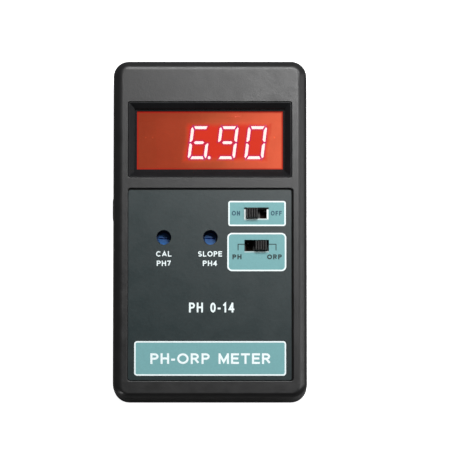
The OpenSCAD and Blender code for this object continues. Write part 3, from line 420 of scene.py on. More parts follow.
def label_film():
    """Printed film: slate ink over a very fine sand texture."""
    look = Look("label_film", (0.0075, 0.018, 0.0195), 0.36, specular=0.52)
    look.bump(look.noise(0.35 * MM, 2.0, 0.5), 0.012 * MM, 0.6)
    look.bump(look.noise(1.3 * MM, 3.0, 0.6), 0.035 * MM, 0.6)
    look.vary_color(look.noise(0.8 * MM, 6.0, 0.8), 0.75, 1.3)
    look.vary_roughness(look.noise(7 * MM, 4.0), 0.33, 0.39)
    return look.material


def bezel_plastic(ledge_z):
    """Satin moulding whose shine is turned down on the ledge round the window, deep in the well: painted
    shade.
    """
    look = Look("bezel_plastic", (0.009, 0.0095, 0.0105), 0.36)
    look.bump(look.noise(0.6 * MM, 3.0), 0.008 * MM, 0.7)
    look.vary_color(look.noise(9 * MM, 5.0, 0.65), 0.86, 1.16)
    look.vary_roughness(look.noise(5 * MM, 6.0, 0.7), 0.31, 0.42)
    # Painted shade: less shine on the ledge than on the rim and slopes above it.
    shine_cut_for_shade = look.remap(look.axes()["Z"], ledge_z + 0.05 * MM, ledge_z + 0.6 * MM, 0.04, 0.15)
    look.link(shine_cut_for_shade, look.shader.inputs["Specular IOR Level"])
    return look.material


def printed_ink(name, color):
    """Screen-printed ink with a slightly uneven film."""
    look = Look(name, color, 0.5, specular=0.35)
    look.bump(look.noise(0.25 * MM, 2.0), 0.006 * MM, 0.5)
    look.vary_color(look.noise(0.6 * MM, 5.0, 0.7), 0.93, 1.05)
    return look.material


def box_nearness(look, low, high, slant, ragged, inner, outer, at_inner, at_outer):
    """Value that changes with the distance to the edge of an upright or slanted box."""
    axes = look.axes()
    mid = (low + high) / 2
    half = (high - low) / 2
    rise = look.calculate("SUBTRACT", axes["Y"], mid.y)
    lean = look.calculate("MULTIPLY", rise, math.tan(slant))
    upright = look.calculate("SUBTRACT", axes["X"], lean)
    across = look.calculate("ABSOLUTE", look.calculate("SUBTRACT", upright, mid.x))
    out_x = look.calculate("SUBTRACT", across, half.x)
    out_y = look.calculate("SUBTRACT", look.calculate("ABSOLUTE", rise), half.y)
    wander = look.remap(look.noise(4 * MM, 3.0), 0.3, 0.7, -ragged, ragged)
    distance = look.calculate("ADD", look.calculate("MAXIMUM", out_x, out_y), wander)
    return look.remap(distance, inner, outer, at_inner, at_outer)


def digit_nearness(look, inner, outer, at_inner, at_outer):
    """Value that changes with the distance to the slanted area of the lit digits."""
    return box_nearness(look, LIT_LOW, LIT_HIGH, DIGIT_SLANT, 0.45 * MM, inner, outer, at_inner, at_outer)


def red_window():
    """Tinted acrylic that lets the digits behind it show through; its emission is painted light: a glow
    round the lit digits, room light that warms its right side, and shade along the window's edge.
    """
    look = Look("red_window", (0.22, 0.018, 0.008), 0.3, specular=0.06)
    half_w = 27 * MM
    # Painted light: the warm room light grows from dark at the left to bright at the right.
    across = look.remap(look.axes()["X"], -half_w, half_w, 0.0, 1.0)
    cloud = look.remap(look.noise(9 * MM, 3.0), 0.3, 0.7, -0.07, 0.07)
    stops = [(0.0, (0.2, 0.043, 0.014)), (0.3, (0.29, 0.06, 0.02)), (0.55, (0.44, 0.105, 0.036)),
             (0.8, (0.72, 0.14, 0.06)), (1.0, (0.95, 0.19, 0.085))]
    painted_room_light = look.ramp(look.calculate("ADD", across, cloud), stops)
    # Painted glow round the lit digits.
    painted_digit_glow = look.blend(digit_nearness(look, -0.8 * MM, 1.0 * MM, 0.93, 0.0), painted_room_light, (0.474, 0.006, 0.004))
    # Painted shade: a darker red along the window's edge.
    painted_edge_shade = box_nearness(look, WINDOW_LOW, WINDOW_HIGH, 0, 0.05 * MM, -0.7 * MM, -0.25 * MM, 0.0, 0.85)
    look.link(look.blend(painted_edge_shade, painted_digit_glow, (0.42, 0.006, 0.006)), look.shader.inputs["Emission Color"])
    # The window glows with this painted light, though it is no lamp.
    look.shader.inputs["Emission Strength"].default_value = 0.95
    look.bump(look.noise(6 * MM, 3.0), 0.01 * MM, 0.3)
    look.vary_color(look.noise(1.5 * MM, 4.0), 0.9, 1.1)
    look.see_through(0.45, (1.0, 0.7, 0.7))
    return look.material


def glowing(name, color, strength):
    """A surface that gives off its own light, a little unevenly."""
    look = Look(name, color, 0.5)
    look.shader.inputs["Emission Color"].default_value = (*color, 1)
    core = look.remap(look.noise(0.9 * MM, 2.0), 0.2, 0.8, strength * 0.85, strength * 1.1)
    look.link(core, look.shader.inputs["Emission Strength"])
    return look.material


def led_body_painted_glow():
    """Dark red LED body with a painted glow round the lit digits."""
    look = Look("led_body", (0.05, 0.008, 0.006), 0.5)
    look.shader.inputs["Emission Color"].default_value = (1.0, 0.16, 0.05, 1)
    # Painted glow: emission that fades with the distance from the lit digits.
    look.link(digit_nearness(look, -0.4 * MM, 1.6 * MM, 0.6, 0.0), look.shader.inputs["Emission Strength"])
    look.vary_color(look.noise(1.2 * MM, 3.0), 0.85, 1.15)
    look.bump(look.noise(0.5 * MM, 2.0), 0.01 * MM, 0.5)
    return look.material


def paint(piece, material):
    piece.data.materials.clear()
    piece.data.materials.append(material)


def dress(node, material):
    """Gives a CAD node its finished material."""
    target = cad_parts[node]
    for slot in target.material_slots:
        slot.material = material


def mount(piece, material, slot, body=CASE, *stands_for):
    """Paints a piece, rides it on its body and hides the CAD nodes it stands for; the slot is not used."""
    paint(piece, material)
    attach(piece, body)
    if stands_for:
        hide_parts(*stands_for)
    return piece


CASE_PLASTIC = moulded_plastic("case_plastic", (0.012, 0.012, 0.0123), 0.36, specular=0.55)
REAR_PLASTIC = moulded_plastic("rear_plastic", (0.016, 0.016, 0.0165), 0.45)
BEZEL_PLASTIC = bezel_plastic(FILTER_TOP + LEDGE_T)
KNOB_PLASTIC = knob_plastic(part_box("power_switch_knob")[0].z + BLOCK_T)
CUP_PLASTIC = moulded_plastic("cup_plastic", (0.02, 0.02, 0.021), 0.45)
JACK_PLASTIC = moulded_plastic("jack_plastic", (0.012, 0.012, 0.013), 0.38)
CHIP_PLASTIC = moulded_plastic("chip_plastic", (0.02, 0.02, 0.021), 0.6, 0.25 * MM)
SWITCH_BROWN = moulded_plastic("switch_brown", (0.05, 0.022, 0.012), 0.6)
INSULATOR = moulded_plastic("insulator", (0.75, 0.72, 0.66), 0.45)
# A near-black matte sheet that paints shade into the label's groove.
GROOVE_SHADE = moulded_plastic("groove_shade", (0.008, 0.008, 0.008), 0.9, specular=0.05)
FOAM = moulded_plastic("foam", (0.07, 0.07, 0.075), 0.95, 0.8 * MM, 0.3 * MM)
VINYL_BLACK = glossy_plastic("vinyl_black", (0.015, 0.015, 0.015), 0.4)
VINYL_RED = glossy_plastic("vinyl_red", (0.5, 0.015, 0.012), 0.4)
TRIMMER_BLUE = glossy_plastic("trimmer_blue", (0.012, 0.07, 0.26), 0.35)
ROTOR_BLUE = glossy_plastic("rotor_blue", (0.02, 0.19, 0.62), 0.3)
SLEEVE_BLUE = glossy_plastic("sleeve_blue", (0.02, 0.04, 0.2), 0.3)
FILM_RED = glossy_plastic("film_red", (0.35, 0.05, 0.025), 0.25)
RESISTOR_TAN = glossy_plastic("resistor_tan", (0.5, 0.34, 0.18), 0.35)
BOARD_GREEN = glossy_plastic("board_green", (0.012, 0.11, 0.035), 0.35, 0.4)
BATTERY_JACKET = glossy_plastic("battery_jacket", (0.05, 0.06, 0.075), 0.35, 0.3)
NICKEL = plain_metal("nickel", (0.75, 0.74, 0.71), 0.22)
SCREW_STEEL = plain_metal("screw_steel", (0.42, 0.42, 0.43), 0.35)
SWITCH_STEEL = plain_metal("switch_steel", (0.85, 0.86, 0.85), 0.3, (1, 6, 6))
# A dark copy of the switch steel, painted shade that keeps the mode switch frame dark in its slot.
STEEL_PAINTED_SHADE = plain_metal("steel_painted_shade", (0.05, 0.045, 0.045), 0.45, (1, 6, 6))
TIN = plain_metal("tin", (0.7, 0.71, 0.73), 0.4)
GOLD = plain_metal("gold", (0.83, 0.58, 0.22), 0.25)
LABEL_FILM = label_film()
INK_TEAL = printed_ink("ink_teal", (0.165, 0.375, 0.39))
INK_WHITE = printed_ink("ink_white", (0.83, 0.93, 0.94))
INK_DARK = printed_ink("ink_dark", (0.02, 0.045, 0.045))
INK_BLUE = printed_ink("ink_blue", (0.025, 0.09, 0.13))
RED_WINDOW = red_window()
LED_ON = glowing("led_on", (0.36, 0.63, 0.6), 10.0)
# Painted glow of the rims round the lit digits.
LED_HALO_PAINTED = glowing("led_halo_painted", (0.3, 0.02, 1.0), 0.19)
LED_BODY = led_body_painted_glow()
SLOT_WHITE = printed_ink("slot_white", (0.8, 0.86, 0.85))
# Grey-teal ink for the painted highlights along the slots' lower edges.
SLOT_GREY = printed_ink("slot_grey", (0.46, 0.6, 0.6))


# ------------------------------------------------------------------------- front case

def control_outlines():
    """Openings over the switches and trimmers in the front wall, under the label."""
    width = SLOT_W + 2 * CONTROL_MARGIN
    length = SLOT_L + 2 * CONTROL_MARGIN
    slots = [rounded_outline(width, length, 0.3 * MM, (mid.x, mid.y), 3) for mid in (POWER_MID, MODE_MID)]
    holes = [circle_outline(TRIMMER_HOLE_R + CONTROL_MARGIN, (mid.x, mid.y)) for mid in (CAL_MID, SLOPE_MID)]
    return slots + holes


def front_profile():
    """(inset, z) of the outside from the seam to the flat of the front face."""
    border_w = 2.85 * MM
    slope = math.radians(35)
    seam_chamfer = 0.3 * MM
    knee_inset = 1.05 * MM
    drop = (border_w - knee_inset) * math.tan(slope)
    corner_z = FACE_Z - drop - (knee_inset - DRAFT) * math.tan(slope)
    seam = (0, SEAM_Z + seam_chamfer)
    knee = (DRAFT, corner_z)
    brow = (border_w, FACE_Z)
    flat = (border_w + 2.4 * MM, FACE_Z)
    points = [(seam_chamfer, SEAM_Z), seam]
    points.append((DRAFT / 2, (SEAM_Z + corner_z) / 2))
    points += corner_arc(knee, seam, brow, 2.6 * MM, 10)
    points += corner_arc(brow, knee, flat, 3.2 * MM, 8)
    return points


# The recess is a little wider than the label plate, most at its top and right
RECESS_LOW = (LABEL_LOW.x - 0.2 * MM, LABEL_LOW.y - 0.3 * MM)
RECESS_HIGH = (LABEL_HIGH.x + 0.7 * MM, LABEL_HIGH.y + 0.65 * MM)
RECESS_MID = ((RECESS_LOW[0] + RECESS_HIGH[0]) / 2, (RECESS_LOW[1] + RECESS_HIGH[1]) / 2)


def front_case():
    """Front shell with a window, a label recess, control openings and screw bosses."""
    inner_z = FACE_Z - FRONT_WALL
    seat_z = FACE_Z - LABEL_RECESS
    step_z = SEAM_Z + 1.3 * MM
    edge = 0.22 * MM
    edge_steps = 4
    shape = Shape()

    def case_ring(inset, z, low=0.0):
        """The case's outline drawn in by an inset, but by less at the low end."""
        width = 2 * (HALF_W - inset)
        length = 2 * (HALF_L - inset) + low
        return shape.ring(rounded_outline(width, length, CORNER_R - inset, (0, -low / 2), 14), z)

    # The bend at the low end is about half as wide as the others
    outside = [case_ring(inset, z, 0.5 * max(0, inset - DRAFT)) for inset, z in front_profile()]
    shape.strips(outside)

    def opening(opening_w, opening_l, radius, centre, floor_z):
        rings = []
        for i in range(edge_steps + 1):
            a = math.pi / 2 * i / edge_steps
            grow = edge * (1 - math.sin(a))
            z = FACE_Z - edge * (1 - math.cos(a))
            outline = rounded_outline(opening_w + 2 * grow, opening_l + 2 * grow, radius + grow, centre, 8)
            rings.append(shape.ring(outline, z))
        rings.append(shape.ring(rounded_outline(opening_w, opening_l, radius, centre, 8), floor_z))
        shape.strips(rings)
        return rings[0], rings[-1]

    window_top, window_low = opening(BEZEL_W, BEZEL_L, 0.8 * MM, (BEZEL_MID.x, BEZEL_MID.y), inner_z)
    recess_w, recess_l = RECESS_HIGH[0] - RECESS_LOW[0], RECESS_HIGH[1] - RECESS_LOW[1]
    recess_top, recess_low = opening(recess_w, recess_l, 1.0 * MM, RECESS_MID, seat_z)
    shape.cap(outside[-1], [window_top, recess_top])

    uppers = [shape.ring(points, seat_z) for points in control_outlines()]
    lowers = [shape.ring(points, inner_z) for points in control_outlines()]
    for upper, lower in zip(uppers, lowers):
        shape.strip(upper, lower)
    shape.cap(recess_low, uppers)

    inside = [case_ring(WALL, inner_z), case_ring(WALL, step_z), case_ring(WALL / 2, step_z),
              case_ring(WALL / 2, SEAM_Z)]
    shape.cap(inside[0], [window_low] + lowers)
    shape.strips(inside)
    shape.strip(inside[-1], outside[0])
    piece = shape.finish("front_shell", 30)

    start = (CUP_MID.x, HALF_L - 5 * MM, SEAM_Z)
    end = (CUP_MID.x, HALF_L + 5 * MM, SEAM_Z)
    apply_boolean(piece, cylinder_between(start, end, CUP_HOLE_R, 96), "DIFFERENCE")
    for node, radius, bore in (("case_screws", 3.5 * MM, 1.5 * MM), ("board_screws", 2.75 * MM, 1.3 * MM)):
        low_z = SEAM_Z if node == "case_screws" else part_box("main_board")[1].z
        for x, y in screw_places(node):
            boss = cylinder_between((x, y, low_z), (x, y, inner_z + 0.3 * MM), radius, 48)
            apply_boolean(piece, boss, "UNION")
            hole = cylinder_between((x, y, low_z - MM), (x, y, low_z + 7 * MM), bore, 32)
            apply_boolean(piece, hole, "DIFFERENCE")
    smooth(piece, 30)
    sharpen_flat_rims(piece.data, BEZEL_W / 2 + MM)
    return mount(piece, CASE_PLASTIC, "case_black", CASE, "front_case")


def sharpen_flat_rims(data, reach):
    """Marks the rims of level faces sharp within a reach of the middle, so they shade evenly."""
    sides = {}
    for polygon in data.polygons:
        for key in polygon.edge_keys:
            sides.setdefault(key, []).append(abs(polygon.normal.z) > 0.99999)
    for edge in data.edges:
        near = all(abs(data.vertices[i].co.x) < reach for i in edge.vertices)
        if near and len(set(sides.get(edge.key, []))) == 2:
            edge.use_edge_sharp = True


def screw_places(node):
    """Middles of the four screws of a group, from the group's own vertices."""
    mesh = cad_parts[node].data
    mid = centre_of(node)
    places = []
    for sign_x in (-1, 1):
        for sign_y in (-1, 1):
            points = [v.co for v in mesh.vertices
                      if (v.co.x - mid.x) * sign_x > 0 and (v.co.y - mid.y) * sign_y > 0]
            xs = [p.x for p in points]
            ys = [p.y for p in points]
            places.append(((min(xs) + max(xs)) / 2, (min(ys) + max(ys)) / 2))
    return places


def label_groove_shade():
    """Thin dark sheet on the floor of the groove round the label plate, painted shade that keeps the groove
    black.
    """
    slack = 0.02 * MM
    thickness = 0.2 * MM
    outer_w = RECESS_HIGH[0] - RECESS_LOW[0] - 2 * slack
    outer_l = RECESS_HIGH[1] - RECESS_LOW[1] - 2 * slack
    inner_w = LABEL_HIGH.x - LABEL_LOW.x + 2 * slack
    inner_l = LABEL_HIGH.y - LABEL_LOW.y + 2 * slack
    label_mid = (LABEL_LOW + LABEL_HIGH) / 2
    outer = rounded_outline(outer_w, outer_l, 1.0 * MM, RECESS_MID, 8)
    inner = rounded_outline(inner_w, inner_l, 0.8 * MM, (label_mid.x, label_mid.y), 8)
    low_z = LABEL_LOW.z + slack
    high_z = low_z + thickness
    shape = Shape()
    rings = [shape.ring(outer, low_z), shape.ring(outer, high_z), shape.ring(inner, high_z),
             shape.ring(inner, low_z)]
    shape.strips(rings, closed=True)
    return mount(shape.finish("label_groove_shade", 30, False), GROOVE_SHADE, "case_black")


front_case()
label_groove_shade()


# ------------------------------------------------------------------------------ bezel

def display_bezel():
    """Frame with a flat rim, sloped walls, a narrow ledge and a flange behind the front wall."""
    rim = 0.35 * MM
    slope_w = 2.0 * MM
    slope_depth = 1.6 * MM
    flange_w = 1.6 * MM
    flange_t = 1.0 * MM
    aperture = (BEZEL_BODY_W - WINDOW_W) / 2
    top_z = BEZEL_HIGH.z
    back_z = BEZEL_LOW.z
    front_z = FILTER_TOP
    ledge_z = front_z + LEDGE_T
    flange_z = FACE_Z - FRONT_WALL - GAP
    well = rim + slope_w
    profile = rounded_profile([
        (0, back_z, 0), (0, flange_z - flange_t, 0), (-flange_w, flange_z - flange_t, 0.1 * MM),
        (-flange_w, flange_z, 0.1 * MM), (0, flange_z, 0), (0, top_z, 0.12 * MM), (rim, top_z, 0.15 * MM),
        (well, top_z - slope_depth, 0.25 * MM), (well, ledge_z, 0.1 * MM),
        (aperture, ledge_z, 0.12 * MM), (aperture, front_z, 0), (well - GAP, front_z, 0),
        (well - GAP, back_z, 0)], closed=True)
    piece = lofted("bezel_frame", profile, BEZEL_BODY_W, BEZEL_BODY_L, 0.8 * MM, (BEZEL_MID.x, BEZEL_MID.y),
                   closed=True, sharp_degrees=30)
    return mount(piece, BEZEL_PLASTIC, "bezel_black", CASE, "display_bezel")


display_bezel()


# ------------------------------------------------------------------------------ knobs

def switch_knob(name, node, body):
    """Sliding block with a grip whose top is a row of rounded ribs."""
    low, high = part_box(node)
    mid = (low + high) / 2
    knob_w = 4.4 * MM
    knob_l = 3.6 * MM
    ribs = 5
    depth = 0.42 * MM
    chamfer = 0.14 * MM
    steps = 8
    bottom = low.z + 1 * MM
    profile = [(-knob_w / 2, bottom), (-knob_w / 2, high.z - depth)]
    for i in range(1, ribs * steps):
        x = -knob_w / 2 + knob_w * i / (ribs * steps)
        profile.append((x, high.z - depth * (1 - abs(math.sin(math.pi * i / steps)) ** 0.6)))
    profile += [(knob_w / 2, high.z - depth), (knob_w / 2, bottom)]
    shape = Shape()
    rings = []
    for offset, shrink in ((-knob_l / 2, chamfer), (-knob_l / 2 + chamfer, 0), (knob_l / 2 - chamfer, 0),
                           (knob_l / 2, chamfer)):
        ring = []
        for x, z in profile:
            px = max(-knob_w / 2 + shrink, min(knob_w / 2 - shrink, x))
            ring.append((mid.x + px, mid.y + offset, z - (shrink if z > bottom + MM else 0)))
        rings.append(shape.ring_3d(ring))
    shape.strips(rings)
    shape.cap(rings[0])
    shape.cap(rings[-1])
    grip = shape.finish(name, 40)
    block_high = low.z + BLOCK_T
    profile = rounded_profile([(0.3 * MM, low.z, 0), (0, low.z, 0.2 * MM), (0, block_high, 0.2 * MM),
                               (0.3 * MM, block_high, 0)])
    block = lofted("block", profile, high.x - low.x, high.y - low.y, 0.3 * MM, (mid.x, mid.y), True, True)
    apply_boolean(grip, block, "UNION")
    smooth(grip, 40)
    return mount(grip, KNOB_PLASTIC, "knob_black", body, node)


switch_knob("power_knob_grip", "power_switch_knob", "power_knob")
switch_knob("mode_knob_grip", "mode_switch_knob", "mode_knob")


# ------------------------------------------------------------------------------ print

INK_T = 0.04 * MM
LAYER_T = 0.004 * MM
BORDER_W = 0.55 * MM
FIELD_Z = LABEL_HIGH.z
LINE_Z = FIELD_Z + INK_T


def ink_field(name, low, high, radius, material, slot, holes=()):
    """A flat printed area with rounded corners and openings."""
    mid = ((low[0] + high[0]) / 2, (low[1] + high[1]) / 2)
    width, length = high[0] - low[0], high[1] - low[1]
    shape = Shape()
    outer = [shape.ring(rounded_outline(width, length, radius, mid, 8), z) for z in (FIELD_Z, LINE_Z)]
    shape.strip(*outer)
    inner = [[shape.ring(points, z) for points in holes] for z in (FIELD_Z, LINE_Z)]
    for lower, upper in zip(*inner):
        shape.strip(lower, upper)
    shape.cap(outer[0], inner[0])
    shape.cap(outer[1], inner[1])
    return mount(shape.finish(name, 30, False), material, slot)


def ink_border(name, low, high, radius):
    """A printed line that follows the edge of a rounded field."""
    mid = ((low[0] + high[0]) / 2, (low[1] + high[1]) / 2)
    full_w, full_l = high[0] - low[0], high[1] - low[1]
    top_z = LINE_Z + INK_T
    profile = [(0, FIELD_Z), (0, top_z), (BORDER_W, top_z), (BORDER_W, FIELD_Z)]
    piece = lofted(name, profile, full_w, full_l, radius, mid, closed=True, sharp_degrees=30)
    return mount(piece, INK_WHITE, "print_white")


def bow(x, y, half_w, half_h, start, end, steps=14):
    """Points on an ellipse between two angles in degrees."""
    angles = [math.radians(start + (end - start) * i / steps) for i in range(steps + 1)]
    return [(x + half_w * math.cos(a), y + half_h * math.sin(a)) for a in angles]


# Strokes of each character along the middle of the pen, on a body one unit high, and its width
STEM = [(0, 0), (0, 1)]
BOWL = [(0.03, 1)] + bow(0.32, 0.745, 0.26, 0.255, 90, -90, 10) + [(0.03, 0.49)]
GLYPHS = {
    "A": (0.80, [[(0, 0), (0.40, 1), (0.80, 0)], [(0.22, 0.30), (0.58, 0.30)]]),
    "C": (0.78, [bow(0.42, 0.5, 0.42, 0.5, 42, 318, 24)]),
    "E": (0.56, [[(0.56, 1), (0, 1), (0, 0), (0.56, 0)], [(0.03, 0.52), (0.50, 0.52)]]),
    "F": (0.52, [[(0.52, 1), (0, 1), (0, 0)], [(0.03, 0.5), (0.44, 0.5)]]),
    "H": (0.62, [STEM, [(0.62, 0), (0.62, 1)], [(0.03, 0.52), (0.59, 0.52)]]),
    "L": (0.52, [[(0, 1), (0, 0), (0.52, 0)]]),
    "M": (0.80, [STEM, [(0.02, 0.98), (0.40, 0.14), (0.78, 0.98)], [(0.80, 1), (0.80, 0)]]),
    "N": (0.62, [STEM, [(0.01, 0.99), (0.61, 0.01)], [(0.62, 0), (0.62, 1)]]),
    "O": (0.90, [bow(0.45, 0.5, 0.45, 0.5, 0, 360, 32)]),
    "P": (0.58, [STEM, BOWL]),
    "R": (0.64, [STEM, BOWL, [(0.30, 0.49), (0.64, 0)]]),
    "S": (0.60, [bow(0.30, 0.745, 0.29, 0.255, 25, 270, 16)
                 + bow(0.30, 0.245, 0.30, 0.245, 90, -155, 16)[1:]]),
    "T": (0.66, [[(0, 1), (0.66, 1)], [(0.33, 1), (0.33, 0)]]),
    "0": (0.52, [bow(0.26, 0.5, 0.26, 0.5, 0, 360, 28)]),
    "1": (0.34, [[(0, 0.74), (0.27, 1), (0.27, 0)]]),
    "4": (0.56, [[(0.42, 0), (0.42, 1)], [(0.40, 0.98), (0, 0.28), (0.56, 0.28)]]),
    "7": (0.52, [[(0, 1), (0.52, 1), (0.18, 0)]]),
    "-": (0.18, [[(0, 0.38), (0.18, 0.38)]]),
    " ": (0.26, []),
}


def pen_edges(points, pen):
    """Left and right edges of a pen that follows a path, with mitred corners and square ends."""
    closed = (Vector(points[0]) - Vector(points[-1])).length < 1e-9
    path = [Vector(p) for p in (points[:-1] if closed else points)]
    count = len(path)
    if not closed:
        for end, beside in ((0, 1), (-1, -2)):
            away = (path[end] - path[beside]).normalized()
            if min(abs(away.x), abs(away.y)) < 0.001:
                path[end] = path[end] + away * pen / 2
    left, right = [], []
    for i, here in enumerate(path):
        before = path[i - 1] if i or closed else None
        after = path[(i + 1) % count] if i < count - 1 or closed else None
        into = (here - before).normalized() if before is not None else (after - here).normalized()
        away = (after - here).normalized() if after is not None else into
        normal = Vector((-(into + away).y, (into + away).x)).normalized()
        reach = pen / 2 / max(0.42, normal.dot(Vector((-into.y, into.x))))
        left.append(here + normal * reach)
        right.append(here - normal * reach)
    return left, right, closed


def ink_text(name, text, mid, width, height, pen, material, slot, base_z):
    """Printed capitals drawn with a flat pen and stretched to fill a given width."""
    gap = 0.19
    layers = 5
    scale = height - pen
    glyphs = [GLYPHS[letter] for letter in text]
    body = sum(glyph[0] for glyph in glyphs) * scale
    space = pen + gap * height
    stretch = (width - pen - space * (len(text) - 1)) / body
    x = mid[0] - width / 2 + pen / 2
    low_y = mid[1] - height / 2 + pen / 2
    shape = Shape()
    layer = 0
    for glyph_w, strokes in glyphs:
        for stroke in strokes:
            points = [(x + px * scale * stretch, low_y + py * scale) for px, py in stroke]
            left, right, closed = pen_edges(points, pen)
            # Strokes that cross lie in different layers, so that no two faces coincide
            top_z = base_z + INK_T - LAYER_T * (layer % layers)
            layer += 1
            lows = [shape.ring([tuple(p) for p in side], base_z) for side in (left, right)]
            highs = [shape.ring([tuple(p) for p in side], top_z) for side in (left, right)]
            count = len(left)
            for i in range(count if closed else count - 1):
                j = (i + 1) % count
                for quad in ((highs[0][i], highs[0][j], highs[1][j], highs[1][i]),
                             (lows[0][i], lows[1][i], lows[1][j], lows[0][j]),
                             (lows[0][i], lows[0][j], highs[0][j], highs[0][i]),
                             (lows[1][i], highs[1][i], highs[1][j], lows[1][j])):
                    shape.mesh.faces.new(quad)
            if not closed:
                for end in (0, count - 1):
                    shape.mesh.faces.new((lows[0][end], highs[0][end], highs[1][end], lows[1][end]))
        x += glyph_w * scale * stretch + space
    return mount(shape.finish(name, 30, False), material, slot)


def slot_hole(mid):
    return rounded_outline(SLOT_W, SLOT_L, 0.05 * MM, (mid.x, mid.y), 2)


def flat_plate(name, points, low_z, high_z, material, slot):
    """A thin plate with a given outline."""
    shape = Shape()
    rings = [shape.ring(points, low_z), shape.ring(points, high_z)]
    shape.strips(rings)
    shape.cap(rings[0])
    shape.cap(rings[1])
    return mount(shape.finish(name, 30, False), material, slot)


def slot_edge_highlight(name, mid):
    """A pale line printed along the lower edge of a switch slot, a painted highlight of that edge."""
    left, right = mid.x - SLOT_W / 2, mid.x + SLOT_W / 2
    edge_y = mid.y - SLOT_L / 2
    points = [(left, edge_y - 0.4 * MM), (right, edge_y - 0.4 * MM), (right, edge_y), (left, edge_y)]
    flat_plate(name, points, LINE_Z, LINE_Z + INK_T, SLOT_GREY, "print_white")


def power_panel():
    """Printed field of the power switch, its legends, the pale liner of its slot and a painted highlight
    along the slot's lower edge.
    """
    low, high = (6.85 * MM, 0.9 * MM), (28.25 * MM, 10.3 * MM)
    ink_field("print_power_field", low, high, 0.9 * MM, INK_TEAL, "print_teal", [slot_hole(POWER_MID)])
    ink_border("print_power_border", low, high, 0.9 * MM)
    height, pen = 1.75 * MM, 0.38 * MM
    for text, x, width in (("ON", 9.7 * MM, 3.1 * MM), ("OFF", 24.7 * MM, 4.1 * MM)):
        ink_text("print_" + text.lower(), text, (x, POWER_MID.y), width, height, pen, INK_BLUE, "print_dark",
                 LINE_Z)
    left, right = POWER_MID.x - SLOT_W / 2, POWER_MID.x + SLOT_W / 2
    # The liner stays clear of the knob's grip and of the shaded top of the slot
    side, foot, shaded = 0.7 * MM, 0.12 * MM, 0.7 * MM
    low_y, high_y = POWER_MID.y - SLOT_L / 2, POWER_MID.y + SLOT_L / 2 - shaded
    points = [(left, high_y), (left, low_y), (right, low_y), (right, high_y), (right - side, high_y),
              (right - side, low_y + foot), (left + side, low_y + foot), (left + side, high_y)]
    flat_plate("power_slot_edge", points, LABEL_HIGH.z - 0.45 * MM, LABEL_HIGH.z - 0.02 * MM, SLOT_WHITE,
               "print_white")
    slot_edge_highlight("power_slot_foot", POWER_MID)


def mode_panel():
    """Printed field of the mode switch, with a bracket from each end of its slot to a legend."""
    low, high = (6.5 * MM, -15.95 * MM), (28.4 * MM, -1.65 * MM)
    ink_field("print_mode_field", low, high, 1.8 * MM, INK_TEAL, "print_teal", [slot_hole(MODE_MID)])
    ink_border("print_mode_border", low, high, 1.8 * MM)
    line = 0.34 * MM
    arm_y = -5.9 * MM
    foot_y = -8.2 * MM
    for name, post_x, side in (("left", 10.5 * MM, -1), ("right", 24.6 * MM, 1)):
        slot_edge = MODE_MID.x + side * SLOT_W / 2
        path = [(slot_edge, arm_y + line / 2), (post_x + side * line / 2, arm_y + line / 2),
                (post_x + side * line / 2, foot_y), (post_x - side * line / 2, foot_y),
                (post_x - side * line / 2, arm_y - line / 2), (slot_edge, arm_y - line / 2)]
        flat_plate("print_bracket_" + name, path, LINE_Z, LINE_Z + INK_T, INK_DARK, "print_dark")
    y, height, pen = -10.6 * MM, 1.85 * MM, 0.48 * MM
    for text, x, width in (("PH", 10.1 * MM, 3.4 * MM), ("ORP", 24.0 * MM, 5.5 * MM)):
        ink_text("print_" + text.lower(), text, (x, y), width, height, pen, INK_DARK, "print_dark", LINE_Z)
    slot_edge_highlight("mode_slot_foot", MODE_MID)


def trimmer_legends():
    """Two lines of print under each trimmer hole."""
    upper_y, lower_y = -9.5 * MM, -13.0 * MM
    height, pen = 2.0 * MM, 0.38 * MM
    for name, text, x, y, width in (
            ("cal", "CAL", -17.1 * MM, upper_y, 5.7 * MM),
            ("slope", "SLOPE", 0.1 * MM, upper_y, 8.9 * MM),
            ("cal_point", "PH7", -17.1 * MM, lower_y, 5.2 * MM),
            ("slope_point", "PH4", 0.05 * MM, lower_y, 5.3 * MM)):
        ink_text("print_" + name, text, (x, y), width, height, pen, INK_WHITE, "print_white", FIELD_Z)


def title_band():
    """Printed band with the meter's name at the low end, and the range line above it."""
    low, high = (-28.0 * MM, -54.85 * MM), (28.3 * MM, -42.0 * MM)
    ink_field("print_title_field", low, high, 1.1 * MM, INK_TEAL, "print_teal")
    ink_border("print_title_border", low, high, 1.1 * MM)
    ink_text("print_title", "PH-ORP METER", (0.3 * MM, -48.5 * MM), 44.6 * MM, 3.95 * MM, 0.78 * MM,
             INK_WHITE, "print_white", LINE_Z)
    ink_text("print_range", "PH 0-14", (0.7 * MM, -29.5 * MM), 16.8 * MM, 3.65 * MM, 0.64 * MM,
             INK_WHITE, "print_white", FIELD_Z)


